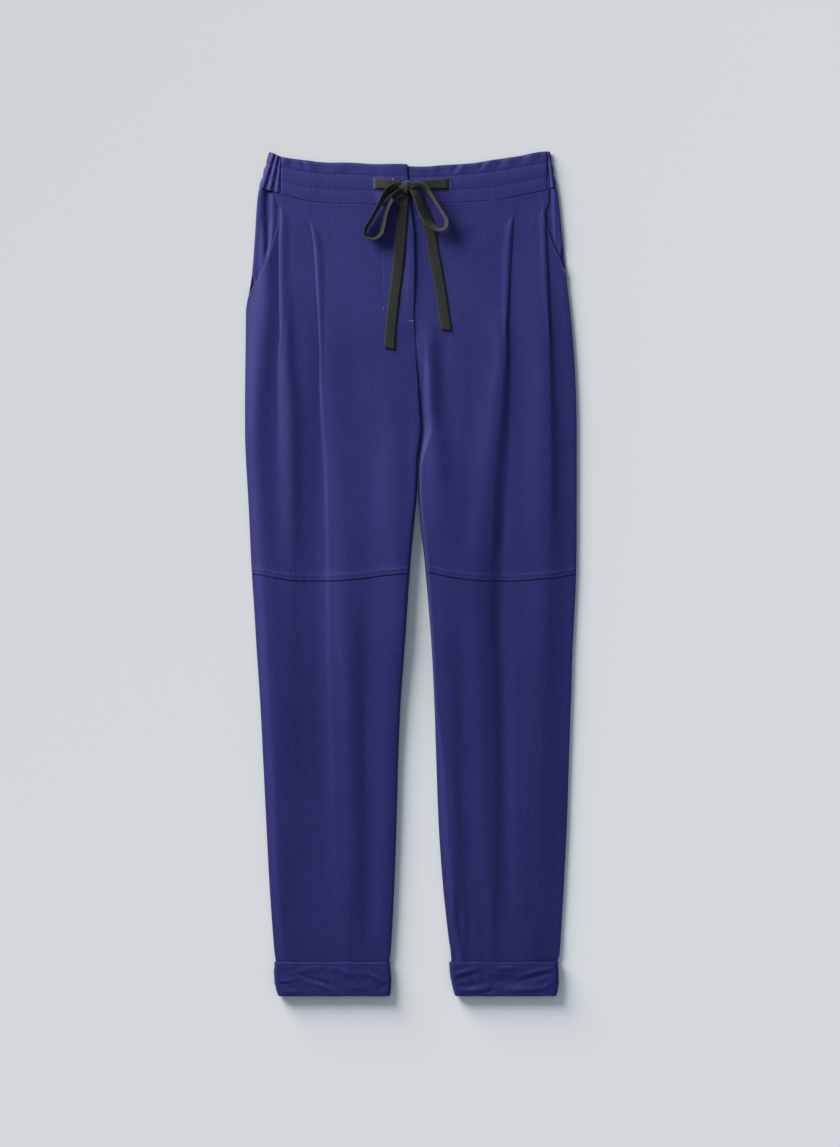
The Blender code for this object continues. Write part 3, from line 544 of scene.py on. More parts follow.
# %% Rows, edges and sizes of the front
POCKETS = {
    "left": Table("s q", (48, 154.4), (80, 157.4), (103, 163.0), (123, 168.6), (144, 177.8),
                  (160, 186.6), (168, 191.2), (178, 194.4)),
    "right": Table("s q", (46, 156.3), (80, 158.9), (98, 165.6), (115, 171.9), (127, 177.6),
                   (137, 182.0), (148, 184.9)),
}
POCKET_END = {"left": 178.0, "right": 148.0}
PLEAT_COLUMNS = "s edge tuck low step"
PLEATS = {
    "left": (
        Table(PLEAT_COLUMNS,
              (63, 124.0, -4.0, 3.2, 0.04), (80, 121.5, -3.0, 3.2, 0.06),
              (98, 118.0, 7.0, 3.0, 0.25), (115, 115.5, 9.0, 2.9, 0.40),
              (175, 111.8, 7.0, 2.6, 0.62), (229, 108.6, 3.0, 2.5, 0.72),
              (300, 104.5, -1.5, 2.5, 0.70), (337, 102.0, -2.4, 2.6, 0.60),
              (378, 99.0, -2.8, 2.6, 0.52), (509, 96.0, -3.0, 2.8, 0.45),
              (589, 94.0, -5.0, 2.9, 0.38), (706, 90.0, -7.0, 3.0, 0.34),
              (814, 87.0, -8.0, 3.1, 0.30), (869, 84.5, -8.0, 3.1, 0.26),
              (945, 79.0, -8.0, 3.2, 0.10)),
        Table(PLEAT_COLUMNS,
              (63, 154.6, -4.0, 3.2, 0.05), (72, 155.0, -3.0, 3.2, 0.08),
              (88, 155.6, 8.0, 3.1, 0.22), (130, 156.7, 9.0, 2.9, 0.32),
              (190, 156.0, 6.0, 2.8, 0.40), (256, 153.8, -2.5, 2.7, 0.40),
              (330, 150.5, -6.0, 2.6, 0.45), (414, 147.2, -11.0, 2.7, 0.30),
              (509, 146.0, -14.0, 3.1, 0.15), (945, 138.0, -9.0, 3.2, 0.05)),
    ),
    "right": (
        Table(PLEAT_COLUMNS,
              (63, 124.0, -4.0, 3.2, 0.04), (78, 123.0, -3.0, 3.2, 0.06),
              (96, 121.8, 7.0, 3.0, 0.25), (130, 119.4, 9.0, 2.9, 0.32),
              (180, 116.4, 6.0, 2.6, 0.75), (212, 113.8, 2.0, 2.2, 1.35),
              (241, 112.0, -3.5, 2.1, 1.55), (282, 107.0, -9.5, 2.1, 1.65),
              (343, 101.6, -14.0, 2.1, 1.60), (414, 99.4, -15.5, 2.3, 1.15),
              (454, 96.0, -15.5, 2.5, 0.88), (509, 93.2, -14.5, 2.6, 0.68),
              (563, 91.2, -13.0, 2.8, 0.56), (616, 97.5, -12.0, 2.9, 0.55),
              (720, 98.5, -13.0, 2.9, 0.50), (828, 99.4, -14.0, 3.0, 0.40),
              (895, 96.6, -14.0, 3.1, 0.30), (945, 94.5, -16.0, 3.2, 0.10)),
        Table(PLEAT_COLUMNS,
              (63, 158.0, -4.0, 3.2, 0.05), (76, 159.0, -3.0, 3.2, 0.10),
              (95, 160.4, 6.0, 3.0, 0.35), (145, 163.0, 6.0, 2.7, 0.70),
              (200, 164.6, 2.0, 2.4, 1.05), (242, 165.2, -3.0, 2.3, 1.15),
              (309, 165.8, -7.0, 2.3, 1.15), (350, 166.4, -8.0, 2.5, 1.00),
              (438, 167.0, -9.0, 2.7, 0.65), (509, 165.5, -12.0, 3.1, 0.20),
              (945, 150.0, -8.0, 3.2, 0.05)),
    ),
}
SLOPE_WIDTH = 2.2        # narrowest slope of a pleat that has just come undone


def station(s, x):
    """Where the point of a level row lies: rows near the waist and knee follow those seams."""
    waist = (WAIST_LINE.at("s", x) - WAIST_SEAM) * (1.0 - ramp(s, WAIST_SEAM, WAIST_EASE))
    knee = KNEE_LINE.at("bow", x) * (1.0 - ramp(abs(s - KNEE_SEAM), 0.0, KNEE_EASE))
    return s + waist + knee


def along(edge_at, leg, s):
    """Read q from an edge at the station where a level row meets it."""
    return edge_at(station(s, SIGN[leg] * edge_at(s)))


def side_edge(leg, s):
    return along(lambda t: abs(OUTLINE.at(leg + "_side", t)), leg, s)


def inner_edge(leg, s):
    return SIGN[leg] * OUTLINE.at(leg + "_inner", s)


def front_inner_edge(leg, s):
    lap = FLY_LAP * (1.0 - ramp(s, WAIST_EASE, FLY_END)) if leg == "right" else 0.0
    return inner_edge(leg, s) - lap


def front_outer_edge(leg, s):
    side = side_edge(leg, s)
    if s >= POCKET_END[leg]:
        return side
    return min(side, along(lambda t: POCKETS[leg].at("q", t), leg, s))


def hem_ease(s):
    """Edges are rolled less where the leg goes into its cuff."""
    return 1.0 - 0.45 * ramp(s, 920.0, 945.0)


def inner_roll(s):
    """How far an inner edge is rolled over: a faint dip at the centre seam, whole at an inseam."""
    return (0.35 * ramp(s, FLY_END, FLY_EASE) + 0.65 * ramp(s, *CROTCH)) * hem_ease(s)


def outer_roll(leg, s):
    return ramp(s, POCKET_END[leg], POCKET_END[leg] + 12.0) * hem_ease(s)


def edge_points(edge, height, rolled, outward, turn, roll=ROLL):
    """The shoulder and three points of an edge. Rolled, they turn a quarter round toward turn."""
    points = []
    for index, angle in enumerate((0.0, 30.0, 60.0, 90.0)):
        flat = 0.9 * (3 - index)
        round_in = SOLID_WALL / 2 + ROLL * (1.0 - math.sin(math.radians(angle)))
        drop = roll * (1.0 - math.cos(math.radians(angle)))
        q = edge - outward * lerp(flat, round_in, rolled)
        points.append((q, height + turn * drop * rolled))
    return points


# %% [markdown]
# The cloth between the pleats isn't flat. Long soft troughs and ridges run down it, each with its
# own start, end, width and depth, read off the photograph one by one. The light comes from the
# upper left, so a ridge shows as bright on its left and dark on its right.

# %% Soft folds, placed one by one
# Each fold: start s and q, end s and q, half width, height
SOFT_FOLDS = {
    "left": (
        (224, 133.4, 330, 130.4, 8, -0.5), (335, 129.4, 490, 125.4, 8, -1.7),
        (493, 121.7, 560, 135.7, 9, -0.8), (560, 135, 860, 131, 10, -0.6),
        (563, 57.4, 700, 56.4, 8, -0.7), (690, 55.7, 922, 51.7, 9, -0.9),
        (560, 77.7, 900, 69.7, 9, 0.4), (549, 168.4, 630, 150.4, 8, -0.7),
        (390, 70.7, 462, 70.7, 9, -0.4), (414, 45.7, 485, 45.7, 9, -0.4),
        (700, 33.7, 930, 33.7, 9, 0.4), (318, 165.8, 414, 164.8, 6, -0.5),
        (640, 153.8, 780, 145.8, 6, 0.4), (330, 53, 420, 51, 10, -0.25),
        (870, 89.5, 950, 83.5, 3.5, 0.85), (905, 125.2, 955, 123.2, 4, -0.59),
    ),
    "right": (
        (228, 35.3, 337, 43.3, 9, -1), (75, 56.3, 88, 66.3, 9, -0.5),
        (90, 68.3, 116, 81.3, 9, -0.7), (600, 139.4, 950, 135.4, 12, 0.5),
        (733, 55.6, 841, 64.6, 8, -0.7), (560, 67, 700, 73, 10, 0.35),
        (900, 55.8, 952, 55.8, 2.6, -1.36), (912, 69, 952, 69, 2.8, -1.02),
        (890, 93.8, 952, 91.8, 4, 1.53), (900, 104.5, 952, 103.5, 3.5, -1.36),
        (880, 150.4, 952, 150.4, 3.5, 1.19), (905, 157.1, 952, 156.1, 3, -1.53),
        (932, 134.8, 954, 132.8, 2.5, -0.85), (420, 67, 500, 71, 10, -0.3),
        (350, 93.6, 470, 91.6, 8, 0.3),
    ),
}


def soft_folds(leg, q, s):
    total = 0.0
    for start_s, start_q, end_s, end_q, half_width, height in SOFT_FOLDS[leg]:
        if s < start_s - 30.0 or s > end_s + 30.0:
            continue
        share = min(max((s - start_s) / (end_s - start_s), 0.0), 1.0)
        away = (q - lerp(start_q, end_q, share)) / half_width
        if abs(away) < 3.0:
            fade = ramp(s, start_s - 30.0, start_s + 20.0)
            fade *= 1.0 - ramp(s, end_s - 20.0, end_s + 30.0)
            total += fade * height * math.exp(-away * away)
    return total * (1.0 - ramp(s, 958.0, 975.0))


# %% [markdown]
# Air is trapped in the laid legs, so they swell. Long swells and valleys run down them, steeper on
# the side that faces the light. A swell is given by its middle, half width and height at a few
# stations, and it lifts every layer of the front alike, so pleats keep their order.

# %% Swells and valleys of the legs
SWELL_COLUMNS = "s q half height"
SWELLS = {
    "left": (
        Table(SWELL_COLUMNS,
              (90, 168, 11, 0.0), (120, 170, 10, 2.6), (176, 171, 11, 3.3), (248, 177, 13, 3.3),
              (319, 181, 14, 2.3), (390, 179, 13, 1.7), (460, 173, 16, 1.9), (525, 168, 22, 2.8),
              (597, 164, 25, 3.5), (669, 159, 24, 3.4), (741, 158, 22, 2.4), (813, 157, 21, 2.0),
              (885, 155, 18, 1.5), (945, 150, 16, 0.4)),
        Table(SWELL_COLUMNS,
              (140, 149, 6, 0.0), (176, 148, 6, 1.1), (248, 147, 8, 2.6), (319, 142, 11, 3.2),
              (390, 140, 11, 2.3), (462, 139, 12, 1.4), (530, 138, 12, 0.5), (600, 137, 12, 0.0)),
        Table(SWELL_COLUMNS,
              (150, 112, 10, 0.0), (237, 109, 8, -1.0), (273, 107, 9, -1.2), (381, 108, 12, -1.6),
              (525, 110, 14, -1.6), (669, 108, 14, -1.5), (741, 107, 14, -1.4),
              (813, 106, 12, -1.0), (945, 106, 12, -0.1)),
        Table(SWELL_COLUMNS,
              (330, 86, 12, 0.0), (381, 86, 12, 0.6), (453, 82, 14, 1.2), (525, 80, 14, 1.4),
              (597, 76, 13, 1.6), (669, 73, 12, 1.4), (741, 73, 12, 1.2), (813, 70, 14, 1.3),
              (885, 73, 15, 1.4), (945, 73, 14, 0.6)),
        Table(SWELL_COLUMNS,
              (190, 60, 25, 0.0), (273, 62, 30, -1.6), (345, 58, 26, -1.2), (381, 54, 20, -1.2),
              (453, 48, 14, -0.6), (525, 48, 14, -0.9), (669, 45, 13, -1.0), (813, 43, 11, -1.0),
              (885, 42, 10, -0.8), (945, 40, 8, -0.1)),
        Table(SWELL_COLUMNS,
              (235, 26, 14, 0.0), (273, 24, 14, 0.4), (345, 20, 14, 1.2), (417, 18, 14, 1.4),
              (453, 16, 14, 1.4), (561, 16, 14, 1.3), (597, 20, 13, 1.2), (669, 24, 12, 1.0),
              (813, 28, 9, 0.8), (945, 32, 8, 0.2)),
    ),
    "right": (
        Table(SWELL_COLUMNS,
              (195, 22, 10, 0.0), (237, 22, 11, 2.2), (273, 24, 12, 3.0), (309, 25, 11, 2.4),
              (345, 29, 15, 3.2), (381, 31, 16, 3.0), (417, 34, 20, 2.4), (489, 36, 28, 2.4),
              (525, 44, 28, 1.8), (561, 42, 16, 1.5), (705, 47, 13, 1.7), (777, 51, 12, 2.2),
              (849, 52, 11, 1.8), (885, 52, 9, 1.6), (945, 53, 8, 0.6)),
        Table(SWELL_COLUMNS,
              (190, 104, 10, 0.2), (237, 107, 9, 1.0), (309, 99, 10, 1.0), (345, 95, 12, 1.1),
              (381, 91, 13, 1.1), (417, 88, 14, 1.2), (453, 82, 18, 1.2), (489, 75, 20, 2.0),
              (525, 75, 20, 1.3), (561, 80, 14, 1.1), (705, 84, 14, 0.9), (777, 86, 12, 0.9),
              (849, 91, 9, 0.9), (945, 95, 6, 0.5)),
        Table(SWELL_COLUMNS,
              (300, 116, 7, 0.0), (345, 112, 8, -0.6), (381, 109, 8, -1.0), (417, 108, 8, -1.6),
              (453, 108, 8, -2.0), (489, 106, 10, -1.7), (561, 107, 11, -1.7), (633, 108, 11, -1.9),
              (705, 110, 10, -1.9), (777, 111, 10, -1.6), (849, 112, 10, -1.4),
              (945, 112, 12, -0.3)),
        Table(SWELL_COLUMNS,
              (200, 157, 8, 0.0), (237, 157, 9, 0.4), (309, 156, 12, 0.8), (381, 154, 18, 0.9),
              (489, 154, 18, 1.1), (561, 154, 14, 1.2), (633, 154, 14, 0.8), (705, 157, 14, 0.4),
              (800, 155, 16, 0.0), (900, 148, 18, -0.5), (945, 148, 18, 0.0)),
    ),
}
AIR = 2.8
# The legs stand fullest where they touch each other below the crotch
CROWDED = Table("s lift", (320, 0.0), (390, 2.6), (450, 4.2), (560, 4.6), (640, 2.4), (730, 0.6),
                (945, 0.0))
CROWDED_WIDTH = 140.0
LIT_RISE = 13.0          # from a turned edge to the full height, on the side that faces the lamp
CROWDED_RISE = 2.6
SHADED_RISE = 2.0
LOW_RISE = 36.0          # the right leg's outer side lies low and rises gently


def swell(leg, q, s):
    """How far the trapped air lifts the front, nothing at a turned edge."""
    if s < 80.0:
        return 0.0
    total = AIR * ramp(s, 110.0, 230.0)
    for table in SWELLS[leg]:
        if table.places[0] < s:
            away = (q - table.at("q", s)) / table.at("half", s)
            if abs(away) < 3.0:
                total += table.at("height", s) * math.exp(-away * away)
    from_inner, from_side = q - inner_edge(leg, s), side_edge(leg, s) - q
    crowd = CROWDED.at("lift", s)
    total += crowd * (1.0 - ramp(from_inner, 12.0, CROWDED_WIDTH))
    joined = 1.0 - ramp(s, FLY_END, 330.0)      # above the crotch the legs are one cloth
    if leg == "left":
        inner_rise, side_rise = SHADED_RISE, LIT_RISE
    else:
        inner_rise, side_rise = lerp(LIT_RISE, CROWDED_RISE, min(crowd / 2.0, 1.0)), LOW_RISE
    inner_share = max(ramp(from_inner, -0.8, inner_rise), joined)
    side_share = ramp(from_side, -0.8, side_rise)
    return total * inner_share * side_share * (1.0 - 0.25 * ramp(s, 930.0, 975.0))


def fly_lift(x, s):
    """The left front rides over the right one's lap beside the fly."""
    edge = OUTLINE.at("left_inner", s)
    loose = 2.0 * ramp(x, edge - 16.0, edge) * (1.0 - ramp(s, 130.0, 205.0))
    return loose + LAYER * ramp(x, edge - 34.0, edge - 17.0) * (1.0 - ramp(s, FLY_END, FLY_EASE))


def front_height(leg, q, s, inner, outer):
    """Height of the laid front, at its middle, away from the pleats."""
    fullness = ramp(q, inner + 20, inner + 70) * (1.0 - ramp(q, outer - 50, outer - 5))
    fullness *= ramp(s, WAIST_SEAM, 150.0) * (1.0 - ramp(s, 900.0, 955.0))
    lift = fly_lift(-q, s) if leg == "left" else 0.0
    return SHOULDER + LOFT * fullness + lift + soft_folds(leg, q, s)


# %% The section of a front
def pleat_points(edge, tuck, top, step, lean):
    """A pleat's fold: round its edge, back under by the tuck and out again, or a slope."""
    bend = step / 2
    under, spread = max(tuck, 0.0), max(SLOPE_WIDTH - tuck, SLOPE_WIDTH / 2)
    folded = ramp(tuck, 0.5, 4.0)
    tucks = (bend, 0.0, bend, under / 2, under - bend, under, under - bend)
    drops = (0.0, 0.25, 0.5, 0.5, 0.5, 0.75, 1.0)
    points = []
    for index, (inward, drop) in enumerate(zip(tucks, drops)):
        share = index / (len(tucks) - 1)
        q = edge + lerp(spread * share, -inward, folded)
        fall = ramp(share, 0.0, 1.0) ** lean
        points.append((q, top - 2 * step * lerp(fall, drop, folded)))
    return points, folded


CENTRE_SHARES = (0.12, 0.26, 0.40, 0.54, 0.68, 0.84, 1.0)
BETWEEN_SHARES = (0.0, 0.33, 0.67, 1.0)
FOLD_CUTS = (2, 2, 2, 2, 2, 2)
FRONT_CUTS = ((2, 2, 2) + (7,) * len(CENTRE_SHARES) + (5,) + FOLD_CUTS + (5,) + (5, 5, 5) + (4,)
              + FOLD_CUTS + (3, 4, 4) + (2, 2, 2))
# How a pleat's open slope falls, high up and lower down: above 1 late and sharp at its foot,
# below 1 at its head
PLEAT_LEANS = {"left": ((1.0, 1.0), (1.0, 1.0)), "right": ((1.5, 0.8), (0.7, 0.7))}


def front_section(leg, s):
    """Points (q, z, share of the fine creases) across a front, from its centre to its side."""
    inner, outer = front_inner_edge(leg, s), front_outer_edge(leg, s)
    seam, side = inner_edge(leg, s), side_edge(leg, s)
    pleats = []
    for table in PLEATS[leg]:
        edge, tuck, low, step = (table.at(name, s) for name in ("edge", "tuck", "low", "step"))
        pleats.append((edge, tuck, low, step, low + 2 * step))
    (edge1, tuck1, low1, step1, top1), (edge2, tuck2, low2, step2, top2) = pleats

    height = front_height(leg, inner + 3, s, seam, side)
    edge = edge_points(inner, height, inner_roll(s), -1.0, -1.0, 0.5)[::-1]
    points = [(q, z, share) for (q, z), share in zip(edge, (0.2, 0.5, 0.8, 1.0))]
    start, stop = points[-1][0], edge1 - max(tuck1, 0.0) - 3.0
    for share in CENTRE_SHARES:
        q = lerp(start, stop, share)
        rise = ramp(q, stop - 30.0, stop)
        points.append((q, lerp(front_height(leg, q, s, seam, side), top1, rise), 1.0))
    down = ramp(s, 300.0, 400.0)
    fold, folded = pleat_points(edge1, tuck1, top1, step1, lerp(*PLEAT_LEANS[leg][0], down))
    points += [(q, z, 1.0 - folded) for q, z in fold]

    start = max(edge1 + 2.0, points[-1][0] + 2.0)
    stop = edge2 - max(tuck2, 0.0) - 3.0
    for share in BETWEEN_SHARES:
        q = lerp(start, stop, share)
        height = lerp(low1, top2, ramp(share, 0.0, 1.0))
        bend = soft_folds(leg, q, s) * (1.0 - abs(2.0 * share - 1.0))
        points.append((q, height + bend, 0.4 + 0.6 * ramp(share, 0.0, 0.3)))
    fold, folded = pleat_points(edge2, tuck2, top2, step2, lerp(*PLEAT_LEANS[leg][1], down))
    points += [(q, z, 1.0 - folded) for q, z in fold]

    rolled = outer_roll(leg, s)
    height = lerp(low2, SHOULDER, ramp(outer - edge2, 3.0, 16.0))
    tail = edge_points(outer, height, rolled, 1.0, -1.0, 0.5)
    first = points[-1][0]
    near = min(max(edge2 + 2.0, first + 2.0), lerp(first, tail[0][0], 0.5))
    points.append((near, low2, 0.5))
    middle = lerp(near, tail[0][0], 0.5)
    points.append((middle, lerp(low2, height, 0.5) + soft_folds(leg, middle, s), 1.0))
    points += [(q, z, share) for (q, z), share in zip(tail, (1.0, 0.8, 0.5, 0.2))]
    return points


# %% [markdown]
# Fine creases come on top: the seams pucker where the needle drew the cloth in, the side edges
# sag off softly before they turn, and the whole face is a little uneven, as thin crepe always is.
# Noise from mathutils is the same in every run.

# %% Fine relief of a front
EDGE_SAG = 0.12          # how far the cloth sinks toward a turned edge
EDGE_SAG_WIDTH = 8.0
TUCK = 1.5               # how far above its seam a panel has sunk under the one above
KNEE_ROWS = (3.2, 8.2)   # how far above the knee seam each row of stitches runs
KNEE_PUCKERS = {"left": (134.0, 16.0), "right": (60.0, 9.0)}    # middle and half width


def crinkle(x, s):
    """Low unevenness: broad and round, and fine streaks down the warp."""
    broad = noise.noise((x / 26.0, s / 60.0, 0.3))
    streaks = noise.noise((x / 4.5, s / 90.0, 7.7))
    return 0.16 * broad + 0.045 * streaks


def knee_relief(leg, q, s_row, upper):
    """The turned seam allowance above the knee seam, its groove, and its puckers."""
    above = KNEE_SEAM - s_row
    middle, half_width = KNEE_PUCKERS[leg]
    gathered = 0.10 + 0.9 * bump(q, middle, half_width)
    waves = math.sin(q * 1.75) + 0.6 * math.sin(q * 1.13 + 1.0)
    if upper:
        ridge = 0.42 * ramp(above, 11.5, 8.5) * ramp(above, 0.0, 6.0)
        ridge -= 0.16 * (bump(above, KNEE_ROWS[0], 0.7) + bump(above, KNEE_ROWS[1], 0.8))
        return ridge + 0.20 * gathered * waves * (1.0 - ramp(above, 6.0, 34.0))
    return 0.14 * gathered * waves * (1.0 - ramp(-above, 2.0, 22.0))


def edge_sag(leg, q, s):
    """The soft slope beside a turned edge."""
    inner = inner_roll(s) * (1.0 - ramp(q - inner_edge(leg, s), 0.0, EDGE_SAG_WIDTH))
    outer = outer_roll(leg, s) * (1.0 - ramp(side_edge(leg, s) - q, 0.0, EDGE_SAG_WIDTH))
    return -EDGE_SAG * (inner + outer)


def tucked(s, upper):
    """A panel's upper end dives under the band or the panel above it."""
    seam = WAIST_SEAM if upper else KNEE_SEAM
    under = 0.6 * (1.0 - ramp(s, seam - TUCK, seam))
    under += (-0.18 if upper else 0.12) * (1.0 - ramp(s, seam, seam + 10.0))
    turned_edge = 0.10 * (1.0 - ramp(KNEE_SEAM - s, 0.0, 2.0)) if upper else 0.0
    return under + turned_edge


def front_line(leg, s, upper):
    line = []
    for q, z, share in refined(front_section(leg, s), FRONT_CUTS):
        x = SIGN[leg] * q
        fine = crinkle(x, s) + edge_sag(leg, q, s) + knee_relief(leg, q, s, upper)
        height = z + swell(leg, q, s) + min(max(share, 0.0), 1.0) * fine - tucked(s, upper)
        line.append((x, station(s, x), height))
    return line


def rows_between(first, last, step):
    count = round((last - first) / step)
    return [lerp(first, last, index / count) for index in range(count + 1)]


# %% [markdown]
# A seam is a small step: the upper end of each panel runs on under the piece above it. Each panel
# is given a crepe's thickness, and the size it was cut to is worked out and printed. Its own UV map
# gives that size, because the map is the cloth laid out flat.

# %% Make the four front panels
def declare_sheet(piece):
    """The size that the cloth was cut to: its unfolded width and length, and its area."""
    uvs = [loop.uv for loop in piece.data.uv_layers["weave"].data]
    width, length = (max(uv[i] for uv in uvs) for i in (0, 1))
    area = sum(face.area for face in piece.data.polygons)
    width, length = max(width, area / length * 1.02), length * 1.01
    print(piece.name, "was cut", round(width / MM), "by", round(length / MM), "mm")


def cloth_piece(node, lines, wall=CREPE_WALL, ring=False):
    """A sheet of crepe laid over the lines, in place of its solid."""
    piece = grid_of(node + "_cloth", lines, ring)
    thicken(piece, wall)
    stand_for(piece, "crepe", CREPE, node)
    declare_sheet(piece)
    return piece


CLOTH_STEP = 2.2
UNDERLAP = 3.0           # how far a panel runs on under the piece above it
LEG_END = 985.0          # the legs end inside their cuffs


def front_panel(leg, upper):
    seam, end = (WAIST_SEAM, KNEE_SEAM) if upper else (KNEE_SEAM, LEG_END)
    rows = [seam - UNDERLAP, seam - TUCK, seam]
    rows += rows_between(seam + 1.0, end, CLOTH_STEP)
    lines = [front_line(leg, s, upper) for s in rows]
    if upper:
        return cloth_piece("front_upper_" + leg, lines)
    return cloth_piece("front_lower_" + leg, lines)


FRONTS = [front_panel(leg, upper) for leg in SIGN for upper in (True, False)]

# %% [markdown]
# ## Hips and backs
# Behind each slanted pocket opening lies the hip piece, sewn to the back at the side and gathered
# a little by the elastic above, so it has folds of its own. They start at the gathers, slant
# inward and fade as the opening narrows. They could be noise, but each one shows, so each has
# its own place.

# %% Hip pieces
BACK_CENTRE_SEAM = 60.0
BACK_SIDE_SEAM = 44.0
BACK_HALF = 180.0
BACK_CUTS = (2, 2, 2, 12, 16, 12, 2, 2, 2)
HIP_END = {"left": 165.0, "right": 136.0}
HIP_CUTS = (5, 5, 6, 6, 6, 2, 2, 2)
HIP_FOLD_ROW = 81.0      # the station that the places of the folds are given for
HIP_FOLD_SLANT = 0.09    # how far the folds drift inward for each millimetre down
# Folds that run down from the gathers: distance inside the side edge, half width and height
HIP_FOLDS = {
    "left": ((12.6, 3.4, -2.4), (5.5, 3.2, 0.3), (20.0, 2.6, 0.5), (25.5, 2.2, -0.7)),
    "right": ((5.0, 2.2, 0.4), (9.5, 2.0, -0.35)),
}


def seam_gap(s):
    """A row at the waist seam stays just clear of the band."""
    return SEAM_HALF if s == WAIST_SEAM else 0.0


def hip_line(leg, s):
    pocket = along(lambda t: POCKETS[leg].at("q", t), leg, s)
    side = side_edge(leg, s)
    open_part = ramp(side - pocket, 3.0, 12.0)
    outer = side - 5.0 * (1.0 - open_part)
    height = lerp(HIP_LAYER, SHOULDER - 0.3, open_part)
    tail = edge_points(outer, height, open_part, 1.0, -1.0, 0.9)
    shoulder = tail[0][0]
    points = [(pocket - 10.0, HIP_LAYER)]
    clear = min(pocket + 1.0, lerp(pocket - 10.0, shoulder, 0.7))
    points.append((clear, HIP_LAYER))
    for share in (0.3, 0.55, 0.8):
        q = lerp(clear, shoulder, share)
        points.append((q, lerp(HIP_LAYER, height, ramp(share, 0.0, 0.9))))
    line = []
    drift = HIP_FOLD_SLANT * (s - HIP_FOLD_ROW)
    for q, z in refined(points + tail, HIP_CUTS):
        folds = sum(high * bump(side - q, inside + drift, half)
                    for inside, half, high in HIP_FOLDS[leg])
        shown = ramp(q, pocket + 0.5, pocket + 4.0) * open_part * (1.0 - ramp(s, 110.0, 165.0))
        x = SIGN[leg] * q
        height = z + swell(leg, q, s) + folds * shown * ramp(side - q, 0.0, 3.0)
        line.append((x, station(s, x) + seam_gap(s), height))
    return line


def hip_piece(leg):
    lines = [hip_line(leg, s) for s in rows_between(WAIST_SEAM, HIP_END[leg], 2.0)]
    return cloth_piece("hip_" + leg, lines)


HIPS = [hip_piece(leg) for leg in SIGN]

# %% [markdown]
# The backs lie flat on the floor, one piece each from waist to hem. Only their turned edges show,
# and the photograph tells nothing more of them, so they stay plain: as thick as their solids,
# with a waist seam that runs straight to the sides and a hem inside the cuff.

# %% Back panels
def back_waist(x):
    """The back's waist seam: straight from the centre to each side."""
    return lerp(BACK_CENTRE_SEAM, BACK_SIDE_SEAM, min(abs(x) / BACK_HALF, 1.0))


def back_line(leg, s):
    in_cuff = ramp(s, 942.0, 956.0)
    inset = 2.4 * in_cuff
    height = lerp(FLOOR_LAYER, HIP_LAYER, in_cuff)
    inner, outer = inner_edge(leg, s) + inset, side_edge(leg, s) - inset
    roll_out = 0.95 * (1.0 - in_cuff)
    roll_in = ramp(s, *CROTCH) * roll_out
    points = edge_points(inner, height, roll_in, -1.0, 1.0)[::-1]
    points += [(lerp(inner, outer, share), height) for share in (0.3, 0.7)]
    points += edge_points(outer, height, roll_out, 1.0, 1.0)
    line = []
    for q, z in refined(points, BACK_CUTS):
        x = SIGN[leg] * q
        settled = s + (back_waist(x) - WAIST_SEAM) * (1.0 - ramp(s, WAIST_SEAM, WAIST_EASE))
        line.append((x, settled + seam_gap(s), max(z, FLOOR_LAYER)))
    return line


for leg in SIGN:
    rows = rows_between(WAIST_SEAM, LEG_END, 4.0)
    cloth_piece("back_" + leg, [back_line(leg, s) for s in rows], wall=SOLID_WALL)

# %% [markdown]
# ## Waistband
# The band is folded double: a free heading stands above the casing like a small frill, two rows of
# stitching hold the tape's casing, and a plain stretch runs down to the waist seam. Stitching
# draws cloth together, so the casing swells between its rows. The left half laps over the right.

# %% Front band
BAND_ENDS = {"left": 154.4, "right": 162.5}
BAND_LAP = 21.0
BAND_LAP_RISE = (-44.0, -30.0)
BAND_COLUMNS = 120
CASING_ROWS = (0.31, 0.68)       # shares of the band's width
# Ruffles of the heading: x, slant, half width, height
HEADING_RUFFLES = (
    (-150, 0.2, 4.0, 0.5), (-141, 0.0, 4.5, -0.35), (-126, -0.5, 2.6, -0.6), (-119, -0.4, 5.0, 0.5),
    (-101, 0.2, 8.0, -0.25), (-84, 0.3, 9.0, 0.3), (-62, 0.1, 8.0, -0.25), (-44, 0.2, 8.0, 0.3),
    (-22, 0.0, 7.0, 0.2), (14, 0.3, 6.0, 0.25), (27, 0.2, 5.0, 0.5), (40, -0.2, 5.0, -0.35),
    (52, 0.7, 3.2, -0.75), (60, 0.5, 4.5, 0.5), (73, 0.3, 5.0, -0.25), (82, 0.8, 3.2, -0.55),
    (91, 0.6, 5.0, 0.45), (106, 0.5, 4.0, -0.4), (116, 0.3, 5.0, 0.35), (131, 0.4, 4.0, -0.4),
    (143, 0.2, 4.5, 0.45), (154, 0.3, 3.0, -0.35),
)


def band_height(leg, x):
    """The left half rides over the right half's lap."""
    over = ramp(x, *BAND_LAP_RISE) if leg == "left" else 0.0
    return SHOULDER + LAYER * over


